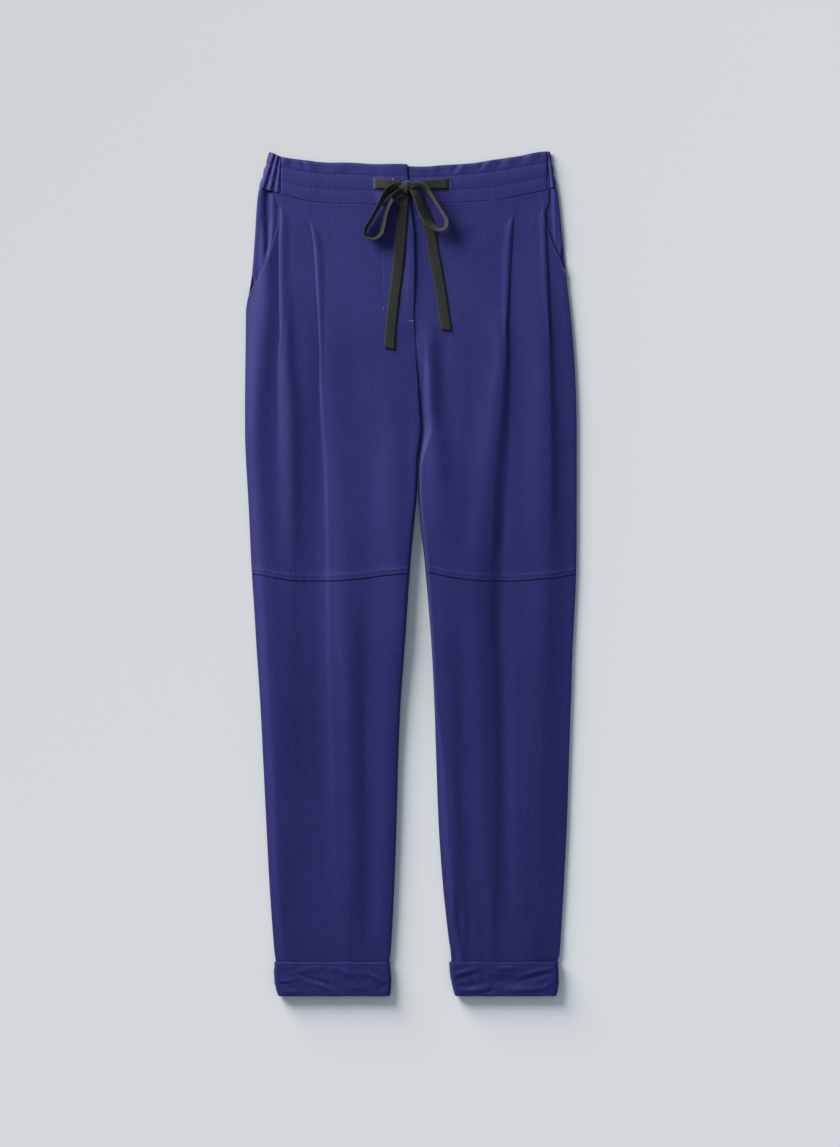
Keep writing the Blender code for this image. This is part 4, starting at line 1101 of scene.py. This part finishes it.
def band_relief(x, share, width):
    """Frill, grooves of stitching, and the swell of the casing between them."""
    upper, lower = CASING_ROWS
    down = share * width
    frill = 0.0
    for middle, slant, half_width, height in HEADING_RUFFLES:
        frill += height * bump(x + slant * (down - 7.0), middle, half_width)
    frill *= 1.0 - ramp(share, 0.10, upper - 0.01)
    swell = 0.0
    if upper < share < lower:
        swell = 0.50 * max(math.sin(math.pi * (share - upper) / (lower - upper)), 0.0) ** 0.6
    swell += 0.15 * ramp(share, lower, lower + 0.12) * ramp(share, 1.0, 0.75)
    swell += 0.30 * ramp(share, upper, upper - 0.08) * ramp(share, 0.0, 0.08)
    grooves = sum(bump(down, row * width, 0.8) for row in CASING_ROWS)
    pucker = math.sin(x * 1.35) + 0.7 * math.sin(x * 0.83 + 2.0)
    drawn = 0.07 * pucker * sum(bump(down, row * width, 3.2) for row in CASING_ROWS)
    return frill + swell - 0.16 * grooves + drawn + 0.10 * noise.noise((x / 14.0, down / 9.0, 2.2))


def heading_wander(x, share):
    """The free heading is a little wavy along its edge."""
    return 0.35 * math.sin(x / 9.0) * (1.0 - ramp(share, 0.0, 0.3))


def band_front(leg):
    lines = []
    for share in rows_between(0.0, 1.0, 0.025):
        edge = OUTLINE.at(leg + "_inner", lerp(16.8, 62.8, share))
        if leg == "right":
            edge -= BAND_LAP
        line = []
        for across in range(BAND_COLUMNS + 1):
            x = lerp(edge, SIGN[leg] * BAND_ENDS[leg], across / BAND_COLUMNS)
            top, bottom = BAND_TOP.at("s", x), WAIST_LINE.at("s", x) - SEAM_HALF
            stack = 0.25 * ramp(abs(x), 105.0, 120.0)
            relief = band_relief(x, share, bottom - top)
            lapped = ramp(x, -4.0, 2.0) if leg == "right" else 1.0
            ends = ramp(abs(x - edge), 0.0, 2.5) * ramp(BAND_ENDS[leg] - abs(x), 0.0, 2.5)
            turned = 0.45 * (1.0 - ramp(share, 0.0, 0.045))
            turned += 0.35 * (1.0 - ends)
            height = band_height(leg, x) + stack + relief * lapped - turned * lapped
            line.append((x, lerp(top, bottom, share) + heading_wander(x, share), height))
        lines.append(line)
    return cloth_piece("band_front_" + leg, lines,
                       wall=BAND_WALL)


BANDS = [band_front(leg) for leg in SIGN]

# %% [markdown]
# The back of the waistband holds elastic, so it is gathered all the way and comes round both sides
# onto the front in a few deep puckers. Gathers could be a cosine, but real ones are pinched where
# the casing is stitched and swell between, and the ones that show were placed one by one.

# %% Gathered back band
GATHERS = 32
GATHER_COLUMNS = 10
BACK_ROWS = 36
# Puckers that show: distance from the middle, slant, half width, height
SHOWN_PUCKERS = {
    "left": ((156.5, 0.10, 1.3, 1.0), (159.6, 0.16, 1.1, -0.9), (162.8, 0.20, 1.7, 1.1),
             (166.4, 0.26, 1.2, -0.9), (169.6, 0.30, 1.8, 0.9), (173.2, 0.30, 1.3, -0.6)),
    "right": ((164.6, 0.05, 0.9, -0.6), (166.8, 0.10, 1.3, 0.8), (169.4, 0.12, 0.9, -0.5)),
}


def shown_puckers(leg, q, share):
    down = (share - 0.5) * 46.0
    total = 0.0
    for middle, slant, half_width, height in SHOWN_PUCKERS[leg]:
        total += height * bump(q - slant * down, middle, half_width)
    pinched = 1.0 - 0.55 * sum(bump(share, row, 0.05) for row in CASING_ROWS)
    return total * pinched


def band_bulge(share, phase):
    """How far the gathers push the side out: three bumps down, pinched at the casing's rows."""
    return 1.2 * abs(math.sin(math.pi * share * 3 + phase)) - 0.2


def band_back():
    lines = []
    roll = (SHOULDER - FLOOR_LAYER) / 2
    count = GATHERS * GATHER_COLUMNS
    for index in range(BACK_ROWS + 1):
        share = index / BACK_ROWS
        pinch = 1.0 - 0.5 * sum(bump(share, row, 0.06) for row in CASING_ROWS)
        left_side = -OUTLINE.at("left_side", lerp(0.6, 44.5, share))
        right_side = OUTLINE.at("right_side", lerp(0.4, 43.0, share))
        line = []
        shoulder = left_side - SOLID_WALL / 2 - roll
        for column in range(25):
            q = lerp(BAND_ENDS["left"] + 0.3, shoulder, column / 24)
            sink = 0.4 * (1.0 - ramp(q, BAND_ENDS["left"], BAND_ENDS["left"] + 2.0))
            height = SHOULDER + 0.3 + shown_puckers("left", q, share) - sink
            line.append((-q, height, WAIST_LINE.at("s", -q)))
        for out, down in HALF_ROUND:
            x = -(shoulder + (roll + band_bulge(share, 0.0)) * out)
            line.append((x, SHOULDER - roll - roll * down, back_waist(x)))
        right_shoulder = right_side - SOLID_WALL / 2 - roll
        for column in range(count + 1):
            x = lerp(-shoulder, right_shoulder, column / count)
            wave = 0.5 - 0.5 * math.cos(2 * math.pi * column / GATHER_COLUMNS)
            swell = 0.75 + 0.5 * noise.noise((column / GATHER_COLUMNS, 0.0, 4.0))
            line.append((x, FLOOR_LAYER + 0.8 * pinch * swell * wave, back_waist(x)))
        for out, down in reversed(HALF_ROUND):
            x = right_shoulder + (roll + band_bulge(share, 0.25)) * out
            line.append((x, SHOULDER - roll - roll * down, back_waist(x) - 1.5))
        for column in range(13):
            q = lerp(right_shoulder, BAND_ENDS["right"] + 0.3, column / 12)
            height = SHOULDER + shown_puckers("right", q, share)
            line.append((q, height, WAIST_LINE.at("s", q)))
        points = []
        for x, z, bottom in line:
            top = BAND_TOP.at("s", x) + 1.5 * (z < SHOULDER / 2)
            points.append((x, lerp(top, bottom - SEAM_HALF, share), z))
        lines.append(points)
    return cloth_piece("band_back", lines, wall=BAND_WALL)


BANDS.append(band_back())

# %% [markdown]
# ## Cuffs
# The hems are turned up once and pressed, and the spare width lies in slanting creases. Each cuff
# is a flattened ring round the leg with its bottom folded in. Its creases could come from a cloth
# simulation, but the photograph shows each one, so they are short bowed hills and dips, each at
# its own angle.

# %% Cuffs
CUFFS = {
    "left": Table("s outer inner", (963, 162.3, 24.2), (975, 162.9, 23.4), (986, 162.3, 22.7),
                  (996, 160.4, 23.3), (1003.5, 158.1, 24.0)),
    "right": Table("s outer inner", (963, 175.5, 45.3), (977, 176.0, 46.2), (989, 176.1, 48.4),
                   (997, 175.0, 50.3), (1003.5, 173.6, 52.0)),
}
# Creases: q and s of the middle, angle from the cuff's run, half length, half width, height, bow
CUFF_CREASES = {
    "left": (
        (144, 984.5, 14, 9, 2.2, 0.9, 0.8), (151, 988.5, 14, 4, 1.6, -1.2, 0.0),
        (105, 986.5, -20, 14, 2.4, -1.1, 1.0), (104, 991.0, -20, 13, 2.6, 0.9, 1.0),
        (74, 976.0, -43, 9, 3.0, 1.1, 0.5), (45, 980.0, -28, 15, 3.2, 1.2, -1.0),
        (144, 998.5, 0, 12, 2.6, 0.7, 0.5), (122, 971.5, 10, 13, 3.0, 0.5, 0.6),
        (62, 993.5, -8, 14, 3.2, 0.6, 1.0), (128, 978.5, -25, 9, 2.6, -0.6, 0.0),
        (88, 972.0, -12, 10, 2.6, 0.5, 0.4), (33, 992.0, 30, 6, 2.2, -0.6, 0.0),
    ),
    "right": (
        (64, 974.0, -16, 17, 2.4, 0.9, 0.8), (68, 979.0, -16, 15, 2.2, -0.8, 0.8),
        (73, 996.5, -4, 16, 3.0, 1.2, -1.5), (72, 990.5, -6, 14, 2.8, -0.8, -1.0),
        (92, 998.0, -20, 6, 2.0, -0.9, 0.0), (116, 969.5, 0, 12, 2.4, 0.7, 1.0),
        (114, 985.0, 4, 17, 7.0, -1.7, 0.0), (134, 995.0, 0, 20, 3.2, 1.1, -1.0),
        (152, 973.5, -14, 20, 2.2, 0.9, 0.6), (150, 979.5, -14, 20, 2.6, -1.0, 0.6),
        (98, 978.0, 24, 9, 2.6, 0.6, 0.0), (163, 990.0, -30, 8, 2.4, 0.7, 0.0),
    ),
}


def cuff_crease(leg, q, s):
    total = 0.0
    for middle, level, angle, half_length, half_width, height, bow in CUFF_CREASES[leg]:
        run, rise = math.cos(math.radians(angle)), math.sin(math.radians(angle))
        along_it = ((q - middle) * run + (s - level) * rise) / half_length
        across = (s - level) * run - (q - middle) * rise - bow * along_it ** 2
        if abs(along_it) < 2.5 and abs(across) < 3.0 * half_width:
            total += height * math.exp(-(across / half_width) ** 2 - along_it ** 2)
    total += 0.30 * noise.noise((q / 9.0, s / 7.0, 5.0))
    return total * ramp(s, CUFF_TOP, CUFF_TOP + 5) * (1.0 - 0.5 * ramp(s, 997.0, 1002.5))


def cuff_wander(q, s):
    """The turned-up edge and the fold at the bottom are a little wavy."""
    top = 0.5 * noise.noise((q / 14.0, 3.0, 0.0)) * (1.0 - ramp(s, CUFF_TOP, CUFF_TOP + 12))
    return top + 0.5 * noise.noise((q / 17.0, 9.0, 0.0)) * ramp(s, 988.0, 1000.0)


# Rows of the ring: station, and how far inside the outer face. The last ones turn in at the fold
CUFF_ROWS = [(s, 0.0) for s in rows_between(CUFF_TOP, 1001.5, 1.3)]
CUFF_ROWS += [(1002.6, 0.12), (1003.1, 0.675), (1002.6, 1.23), (1001.0, 1.35), (996.0, 1.35),
              (990.0, 1.35)]
CUFF_COLUMNS = 92


def cuff(leg):
    outline = CUFFS[leg]
    lines = []
    roll = (CUFF_LIFT - FLOOR_LAYER) / 2
    centre = FLOOR_LAYER + roll
    for s, inside in CUFF_ROWS:
        outer, inner = outline.at("outer", s), outline.at("inner", s)
        outer += 0.5 * noise.noise((s / 6.0, 1.0, 0.0)) * (inside == 0.0)
        outward, inward = outer - SOLID_WALL / 2 - roll, inner + SOLID_WALL / 2 + roll
        radius = roll - inside
        ring = []
        for column in range(CUFF_COLUMNS + 1):
            q = lerp(inward, outward, column / CUFF_COLUMNS)
            ends = ramp(q, inward, inward + 3.0) * ramp(q, outward, outward - 3.0)
            crease = cuff_crease(leg, q, s) * ends if inside < 0.5 else 0.0
            ring.append((q, s + cuff_wander(q, s) * ends, CUFF_LIFT - inside + crease))
        for out, up in reversed(HALF_ROUND):
            ring.append((outward + radius * out, s, centre + radius * up))
        for column in range(9):
            ring.append((lerp(outward, inward, column / 8), s, FLOOR_LAYER + inside))
        for out, up in HALF_ROUND:
            ring.append((inward - radius * out, s, centre + radius * up))
        ring.append(ring[0])
        lines.append([(SIGN[leg] * q, level, z) for q, level, z in ring])
    return cloth_piece("cuff_" + leg, lines,
                       ring=True)


CUFF_PIECES = [cuff(leg) for leg in SIGN]

# %% [markdown]
# ## What lies on the cloth
# Stitches, tails and stubs rest on sheets that already have their creases. Rather than work the
# heights out again, a ray is dropped onto the finished sheets, as one would lay the thing down.

# %% Drop onto the cloth
def surface_of(pieces):
    graph = bpy.context.evaluated_depsgraph_get()
    corners, faces = [], []
    for piece in pieces:
        shown = piece.evaluated_get(graph)
        mesh = shown.to_mesh()
        start = len(corners)
        corners += [vert.co.copy() for vert in mesh.vertices]
        faces += [tuple(start + index for index in face.vertices) for face in mesh.polygons]
        shown.to_mesh_clear()
    return BVHTree.FromPolygons(corners, faces)


TOP_CLOTH = surface_of(FRONTS + HIPS + BANDS + CUFF_PIECES)


def drop(x, s):
    """The height of the cloth's upper face at a place, in millimetres."""
    hit = TOP_CLOTH.ray_cast(place(x, s, 60.0), Vector((0, 0, -1)))[0]
    return SHOULDER if hit is None else hit.z / MM


print("fly stands", round(drop(-10, 120), 2), "mm above the floor")

# %% [markdown]
# The tails lie down the front over the fly, flat but for a slight wave, and end in raw edges. The
# stubs run from the slits to the knot, the left one over the button.

# %% Tails and stubs
TAIL_WAVES = {"left": (58.0, 0.4), "right": (46.0, 1.9)}     # wave length and phase
TAIL_SLANTS = {"left": 1.3, "right": 1.0}       # how far a raw end is cut off square, each way


def tape_tail(leg):
    table = TAILS[leg]
    first, last = table.places[0] - 3.0, table.places[-1]
    rows = rows_between(first, last, TAPE_STEP)
    wave, phase = TAIL_WAVES[leg]
    lines, path = [], []
    for s in rows:
        slope = (table.at("x", s + 2) - table.at("x", s - 2)) / 4
        size = math.hypot(1.0, slope)
        spots = []
        for column in range(TAPE_COLUMNS + 1):
            offset = TAPE_WIDTH * (column / TAPE_COLUMNS - 0.5) / size
            spots.append((table.at("x", s) + offset, s - offset * slope))
        high = max(drop(x + shift, level) for shift in (-1.5, 0.0, 1.5) for x, level in spots)
        near_knot = 1.6 * (1.0 - ramp(s, first, first + 22.0))
        lift = 0.55 + 0.25 * math.sin(s / wave * 2 * math.pi + phase) + near_knot
        lift += 0.7 * ramp(s, last - 16.0, last)
        line = []
        for column, (x, level) in enumerate(spots):
            across = 2.0 * column / TAPE_COLUMNS - 1.0
            level += TAIL_SLANTS[leg] * across * ramp(s, last - 12.0, last)
            line.append((x, level, high + TAPE_WALL / 2 + lift * 0.55 - 0.12 * across ** 2 + 0.1))
        lines.append(line)
        path.append(line[TAPE_COLUMNS // 2])
    heights = [line[0][2] for line in lines]
    for index, line in enumerate(lines):
        near = heights[max(index - 6, 0):index + 7]
        shift = sum(near) / len(near) - heights[index]
        lines[index] = [(x, level, z + max(shift, -0.1)) for x, level, z in line]
        path[index] = lines[index][TAPE_COLUMNS // 2]
    return woven_piece("tape_tail_" + leg, lines), path


def tape_stub(leg):
    """The flat run of tape from its slit in the casing to the knot."""
    x_slit, s_slit = SLITS[leg]
    x_knot = KNOT_CENTRE[0] + SIGN[leg] * (KNOT_SIZE[0] / 2 - 1.5)
    lines = []
    for index in range(25):
        share = index / 24
        x = lerp(x_slit + SIGN[leg] * 0.6, x_knot, share)
        s = lerp(s_slit, KNOT_CENTRE[1] - 2.5, share)
        over = 2.0 * ramp(share, 0.15, 0.6) if leg == "left" else 2.6 * ramp(share, 0.2, 0.9)
        height = band_height(leg, x) + 2.05 + over - 1.5 * (1.0 - ramp(share, 0.0, 0.10))
        half = TAPE_WIDTH / 2 * lerp(1.0, 0.78, share)
        line = []
        for column in range(TAPE_COLUMNS + 1):
            across = 2.0 * column / TAPE_COLUMNS - 1.0
            line.append((x, s + half * across, height + 0.3 * (1.0 - across ** 2) * share))
        lines.append(line)
    return woven_piece("tape_stub_" + leg, lines)


tails = {leg: tape_tail(leg) for leg in SIGN}
stubs = {leg: tape_stub(leg) for leg in SIGN}

# %% [markdown]
# The knot is the tape squeezed round itself: a soft lump with one turn of tape over its middle and
# small folds running into it from both sides. It starts as a sphere, is flattened to the knot's
# size, and the turn and the folds are pushed out along its own directions.

# %% Knot
KNOT_TURN = 0.58         # half width of the turn over the middle, as a share of the knot's half


def tape_knot():
    shape = bmesh.new()
    bmesh.ops.create_uvsphere(shape, u_segments=96, v_segments=64, radius=1.0)
    weave = shape.loops.layers.uv.new("weave")
    for vert in shape.verts:
        a, b, c = vert.co
        turn = 1.0 - ramp(abs(a + 0.10 * b), KNOT_TURN - 0.09, KNOT_TURN + 0.03)
        fold = 0.5 * math.sin(7.0 * math.atan2(c + 0.25, b) + 3.0 * abs(a)) * ramp(abs(a), 0.35, 0.8)
        crease = 0.35 * math.sin(9.0 * a + 1.5) * turn
        squash = 1.0 - 0.16 * (1.0 - turn) * (1.0 - ramp(abs(a), 0.4, 0.75))
        swell = 1.0 + 0.08 * turn
        x = a * KNOT_SIZE[0] / 2
        s = -b * KNOT_SIZE[1] / 2 * swell * squash
        z = c * KNOT_SIZE[2] / 2 * swell * squash
        push = fold + crease
        radial = math.hypot(b, c) or 1.0
        vert.co = place(KNOT_CENTRE[0] + x, KNOT_CENTRE[1] + s - push * b / radial,
                        KNOT_CENTRE[2] + z + push * c / radial)
    for face in shape.faces:
        for loop in face.loops:
            loop[weave].uv = (loop.vert.co.x, loop.vert.co.y)
    bmesh.ops.recalc_face_normals(shape, faces=shape.faces[:])
    piece = object_of("tape_knot_tied", shape)
    piece.data.shade_smooth()
    stand_for(piece, "tape", TAPE, "tape_knot")
    return piece


knot = tape_knot()

# %% [markdown]
# ## Button
# A small glossy four-hole button closes the band under the tape, and only its rim shows. It is a
# short cylinder with its rim rounded and its face sunk, and the holes are cut through it.

# %% Button
BUTTON_CENTRE = (-17.0, 36.6)
BUTTON_RADIUS = 5.2
BUTTON_THICKNESS = 1.4
HOLE_RADIUS = 0.55
HOLE_SPREAD = 1.2


def waist_button():
    bottom = SHOULDER + LAYER + 0.6 + SOLID_WALL / 2 + 0.3
    shape = bmesh.new()
    bmesh.ops.create_cone(shape, cap_ends=True, segments=48, radius1=BUTTON_RADIUS * MM,
                          radius2=BUTTON_RADIUS * MM, depth=BUTTON_THICKNESS * MM)
    face = max(shape.faces, key=lambda f: f.calc_center_median().z)
    sunk = bmesh.ops.inset_region(shape, faces=[face], thickness=1.1 * MM)
    bmesh.ops.inset_region(shape, faces=[face], thickness=0.5 * MM)
    bmesh.ops.translate(shape, verts=face.verts[:], vec=(0, 0, -0.45 * MM))
    rims = [edge for edge in shape.edges if abs(edge.calc_length() - 0.68 * MM) < 0.03 * MM
            and all(abs(v.co.xy.length - BUTTON_RADIUS * MM) < 1e-6 for v in edge.verts)]
    bmesh.ops.bevel(shape, geom=rims, offset=0.4 * MM, offset_type="OFFSET", affect="EDGES",
                    segments=3, profile=0.5, material=-1)
    print("button face ring", len(sunk["faces"]), "rim edges", len(rims))
    middle = place(*BUTTON_CENTRE, bottom + BUTTON_THICKNESS / 2)
    bmesh.ops.translate(shape, verts=shape.verts[:], vec=middle)
    piece = object_of("button_turned", shape)
    cutter_shape = bmesh.new()
    for side in (-1, 1):
        for end in (-1, 1):
            made = bmesh.ops.create_cone(cutter_shape, cap_ends=True, segments=16, depth=6 * MM,
                                         radius1=HOLE_RADIUS * MM, radius2=HOLE_RADIUS * MM)
            spot = place(BUTTON_CENTRE[0] + side * HOLE_SPREAD,
                         BUTTON_CENTRE[1] + end * HOLE_SPREAD, bottom)
            bmesh.ops.translate(cutter_shape, verts=made["verts"], vec=spot)
    cutter = object_of("holes", cutter_shape)
    holes = piece.modifiers.new("holes", "BOOLEAN")
    holes.operation = "DIFFERENCE"
    holes.object = cutter
    graph = bpy.context.evaluated_depsgraph_get()
    piece.data = bpy.data.meshes.new_from_object(piece.evaluated_get(graph))
    piece.modifiers.clear()
    bpy.data.objects.remove(cutter)
    piece.data.shade_smooth()
    piece.data.set_sharp_from_angle(angle=math.radians(40.0))
    stand_for(piece, "button", BUTTON, "button")


waist_button()

# %% [markdown]
# ## Sewing
# Thread shows as short dashes. Its colour is painted paler than the cloth's: a painted sheen that
# stands for the shine of smooth thread. One stitch is a drawn-out sphere with a few dozen faces. A
# row walks along a path at the stitch's pitch, drops each stitch onto the cloth, turns it along the
# path and lets it sink in by half.

# %% Rows of stitches
STITCH_PITCH = 2.8
STITCH_LENGTH = 2.0
THREAD_RADIUS = 0.25


def walk(path, pitch):
    """Places along a line of (x, s) points, one for each pitch, with the direction there."""
    spots, left = [], pitch / 2
    for (x0, s0), (x1, s1) in zip(path, path[1:]):
        span = math.hypot(x1 - x0, s1 - s0)
        while left <= span:
            share = left / span
            spots.append((lerp(x0, x1, share), lerp(s0, s1, share),
                          (x1 - x0) / span, (s1 - s0) / span))
            left += pitch
        left -= span
    return spots


def stitch_row(name, spots, length=STITCH_LENGTH, radius=THREAD_RADIUS, sink=0.05):
    shape = bmesh.new()
    for x, s, run, fall in spots:
        out = [(x + way * run * length / 2, s + way * fall * length / 2) for way in (-1, 1)]
        first, last = (place(*spot, drop(*spot)) for spot in out)
        axis = (last - first).normalized()
        made = bmesh.ops.create_uvsphere(shape, u_segments=6, v_segments=4, radius=1.0)["verts"]
        bmesh.ops.scale(shape, verts=made, vec=(radius * MM, radius * MM, length / 2 * MM))
        turn = axis.to_track_quat("Z", "Y").to_matrix()
        bmesh.ops.rotate(shape, verts=made, cent=(0, 0, 0), matrix=turn)
        bmesh.ops.translate(shape, verts=made, vec=place(x, s, drop(x, s) + radius * 0.6 - sink))
    piece = object_of(name, shape)
    piece.data.shade_smooth()
    stand_for(piece, "crepe", THREAD)


# %% Knee, casing, waist, pocket and fly stitching
SEWN_PARTS = [index / 60 for index in range(61)]
CASING_START = {"left": -3.0, "right": 0.5}


def knee_path(leg, above):
    inner, outer = inner_edge(leg, KNEE_SEAM) + 1.2, side_edge(leg, KNEE_SEAM) - 1.2
    across = [SIGN[leg] * lerp(inner, outer, share) for share in SEWN_PARTS]
    return [(x, station(KNEE_SEAM - above, x)) for x in across]


def casing_path(leg, down):
    end = SIGN[leg] * (BAND_ENDS[leg] - 1.0)
    path = []
    for x in [lerp(CASING_START[leg], end, share) for share in SEWN_PARTS]:
        top, bottom = BAND_TOP.at("s", x), WAIST_LINE.at("s", x) - SEAM_HALF
        path.append((x, lerp(top, bottom, down) + heading_wander(x, down)))
    return path


def pocket_path(leg, inside):
    first = WAIST_LINE.at("s", SIGN[leg] * 155.0) + 2.0
    rows = rows_between(first, POCKET_END[leg] - 4.0, 2.0)
    return [(SIGN[leg] * (POCKETS[leg].at("q", s) - inside), s) for s in rows]


def sew(name, path):
    stitch_row("stitches_" + name, walk(path, STITCH_PITCH))


for leg in SIGN:
    for number, above in enumerate(KNEE_ROWS, 1):
        sew(f"knee_{leg}_{number}", knee_path(leg, above))
    for number, share in enumerate(CASING_ROWS, 1):
        sew(f"casing_{leg}_{number}", casing_path(leg, share))
    sew("pocket_" + leg, pocket_path(leg, 1.6))

FLY_STITCH = refined([(-31.8, 64.5), (-31.8, 110.0), (-31.7, 150.0), (-31.0, 172.0), (-28.0, 186.0),
                      (-20.0, 196.0), (-10.0, 200.5), (3.0, 201.5)], (6, 6, 6, 6, 5, 5, 5))
sew("fly", FLY_STITCH)

# %% [markdown]
# Bar tacks are dense little bars of thread where a seam must not tear: at the pocket ends, the fly
# and across the slits of the casing, which are worked like buttonholes.

# %% Bar tacks and slits
TACK_PITCH = 0.45
TACK_THREAD_RADIUS = 0.26


def bar_tack(name, x, s, run, fall, length, width):
    """A row of stitches that lie side by side across the bar's own direction."""
    size = math.hypot(run, fall)
    run, fall = run / size, fall / size
    count = round(length / TACK_PITCH)
    spots = []
    for index in range(count):
        out = (index - (count - 1) / 2) * TACK_PITCH
        spots.append((x + run * out, s + fall * out, -fall, run))
    stitch_row(name, spots, length=width, radius=TACK_THREAD_RADIUS, sink=0.0)


bar_tack("tack_fly_bottom", 1.2, 202.0, 1.0, 0.05, 6.0, 1.5)
bar_tack("tack_fly_side", -31.8, 187.0, 0.1, 1.0, 3.6, 1.6)
bar_tack("tack_fly_top", 9.0, 78.5, 1.0, -0.6, 6.5, 1.3)
bar_tack("tack_pocket_left", -190.5, 170.5, -0.6, 1.0, 4.5, 1.6)
bar_tack("tack_pocket_right", 182.3, 141.0, 0.6, 1.0, 4.5, 1.6)
for leg in SIGN:
    x_slit, s_slit = SLITS[leg]
    bar_tack("slit_edge_" + leg, x_slit + SIGN[leg] * 1.0, s_slit, 0.0, 1.0, 14.5, 1.7)

# %% [markdown]
# ## Light and floor
# The photograph is a studio shot on pale paper. Left edges are bright, right edges dark, and soft
# shadows fall to the right and below, so one broad soft box stands low at the upper left and the
# room fills the shade. The cloth darkens toward the hems, so the lamp isn't far away, but the paper
# is even from corner to corner. The floor is therefore tinted against the lamp's falloff.

# %% Key lamp and room
KEY_ELEVATION = 16.5
KEY_AZIMUTH = 133.0          # from +x toward +y, so the light comes from the upper left
KEY_DISTANCE = 3.2
KEY_RADIUS = 1.08            # a big soft box, seen from the floor about forty degrees wide
KEY_POWER = 1147.0
KEY_COLOUR = (1.0, 0.975, 0.94)
FILL_STRENGTH = 0.325
FILL_COLOUR = (0.82, 0.97, 1.15)

level, around = math.radians(KEY_ELEVATION), math.radians(KEY_AZIMUTH)
toward = Vector((math.cos(level) * math.cos(around), math.cos(level) * math.sin(around),
                 math.sin(level)))
key_data = bpy.data.lights.new("key", "POINT")
key_data.energy = KEY_POWER
key_data.shadow_soft_size = KEY_RADIUS
key_data.color = KEY_COLOUR
key = bpy.data.objects.new("key", key_data)
key.location = toward * KEY_DISTANCE
bpy.context.scene.collection.objects.link(key)

world = bpy.data.worlds.new("studio")
world.use_nodes = True
world.node_tree.nodes["Background"].inputs["Color"].default_value = (*FILL_COLOUR, 1.0)
world.node_tree.nodes["Background"].inputs["Strength"].default_value = FILL_STRENGTH
bpy.context.scene.world = world
bpy.context.scene.view_settings.view_transform = "Standard"
print("light comes from", [round(part, 2) for part in toward])

# %% Paper floor
PAPER_SHOWN = (0.702, 0.738, 0.766)      # the even tone of the paper in the picture
LAMP_FALLOFF = 2.86          # just under the cube, because the lamp is broad


def vector_math(tree, operation, first, second):
    node = tree.nodes.new("ShaderNodeVectorMath")
    node.operation = operation
    for socket, value in zip(node.inputs, (first, second)):
        if not isinstance(value, tuple):
            tree.links.new(value, socket)
        elif value:
            socket.default_value = value
    return node


def paper_floor():
    shape = bmesh.new()
    bmesh.ops.create_grid(shape, x_segments=1, y_segments=1, size=6.0)
    bmesh.ops.translate(shape, verts=shape.verts[:], vec=(0, 0, -0.3 * MM))
    floor = object_of("floor", shape)
    material, tree, shader = new_material("paper", 0.9)
    shader.inputs["Specular IOR Level"].default_value = 0.0
    where = tree.nodes.new("ShaderNodeTexCoord").outputs["Object"]
    away = vector_math(tree, "DISTANCE", where, tuple(key.location)).outputs["Value"]
    weaker = tree.nodes.new("ShaderNodeMath")
    weaker.operation = "POWER"
    weaker.inputs[1].default_value = -LAMP_FALLOFF
    tree.links.new(away, weaker.inputs[0])
    strength = KEY_POWER * key.location.z / (4.0 * math.pi ** 2)
    strength *= KEY_DISTANCE ** (LAMP_FALLOFF - 3.0)
    lamp = vector_math(tree, "SCALE", tuple(part * strength for part in KEY_COLOUR), ())
    tree.links.new(weaker.outputs[0], lamp.inputs["Scale"])
    room = tuple(part * FILL_STRENGTH for part in FILL_COLOUR)
    light = vector_math(tree, "ADD", lamp.outputs["Vector"], room)
    tint = vector_math(tree, "DIVIDE", PAPER_SHOWN, light.outputs["Vector"])
    tree.links.new(tint.outputs["Vector"], shader.inputs["Base Color"])
    floor.data.materials.append(material)


paper_floor()
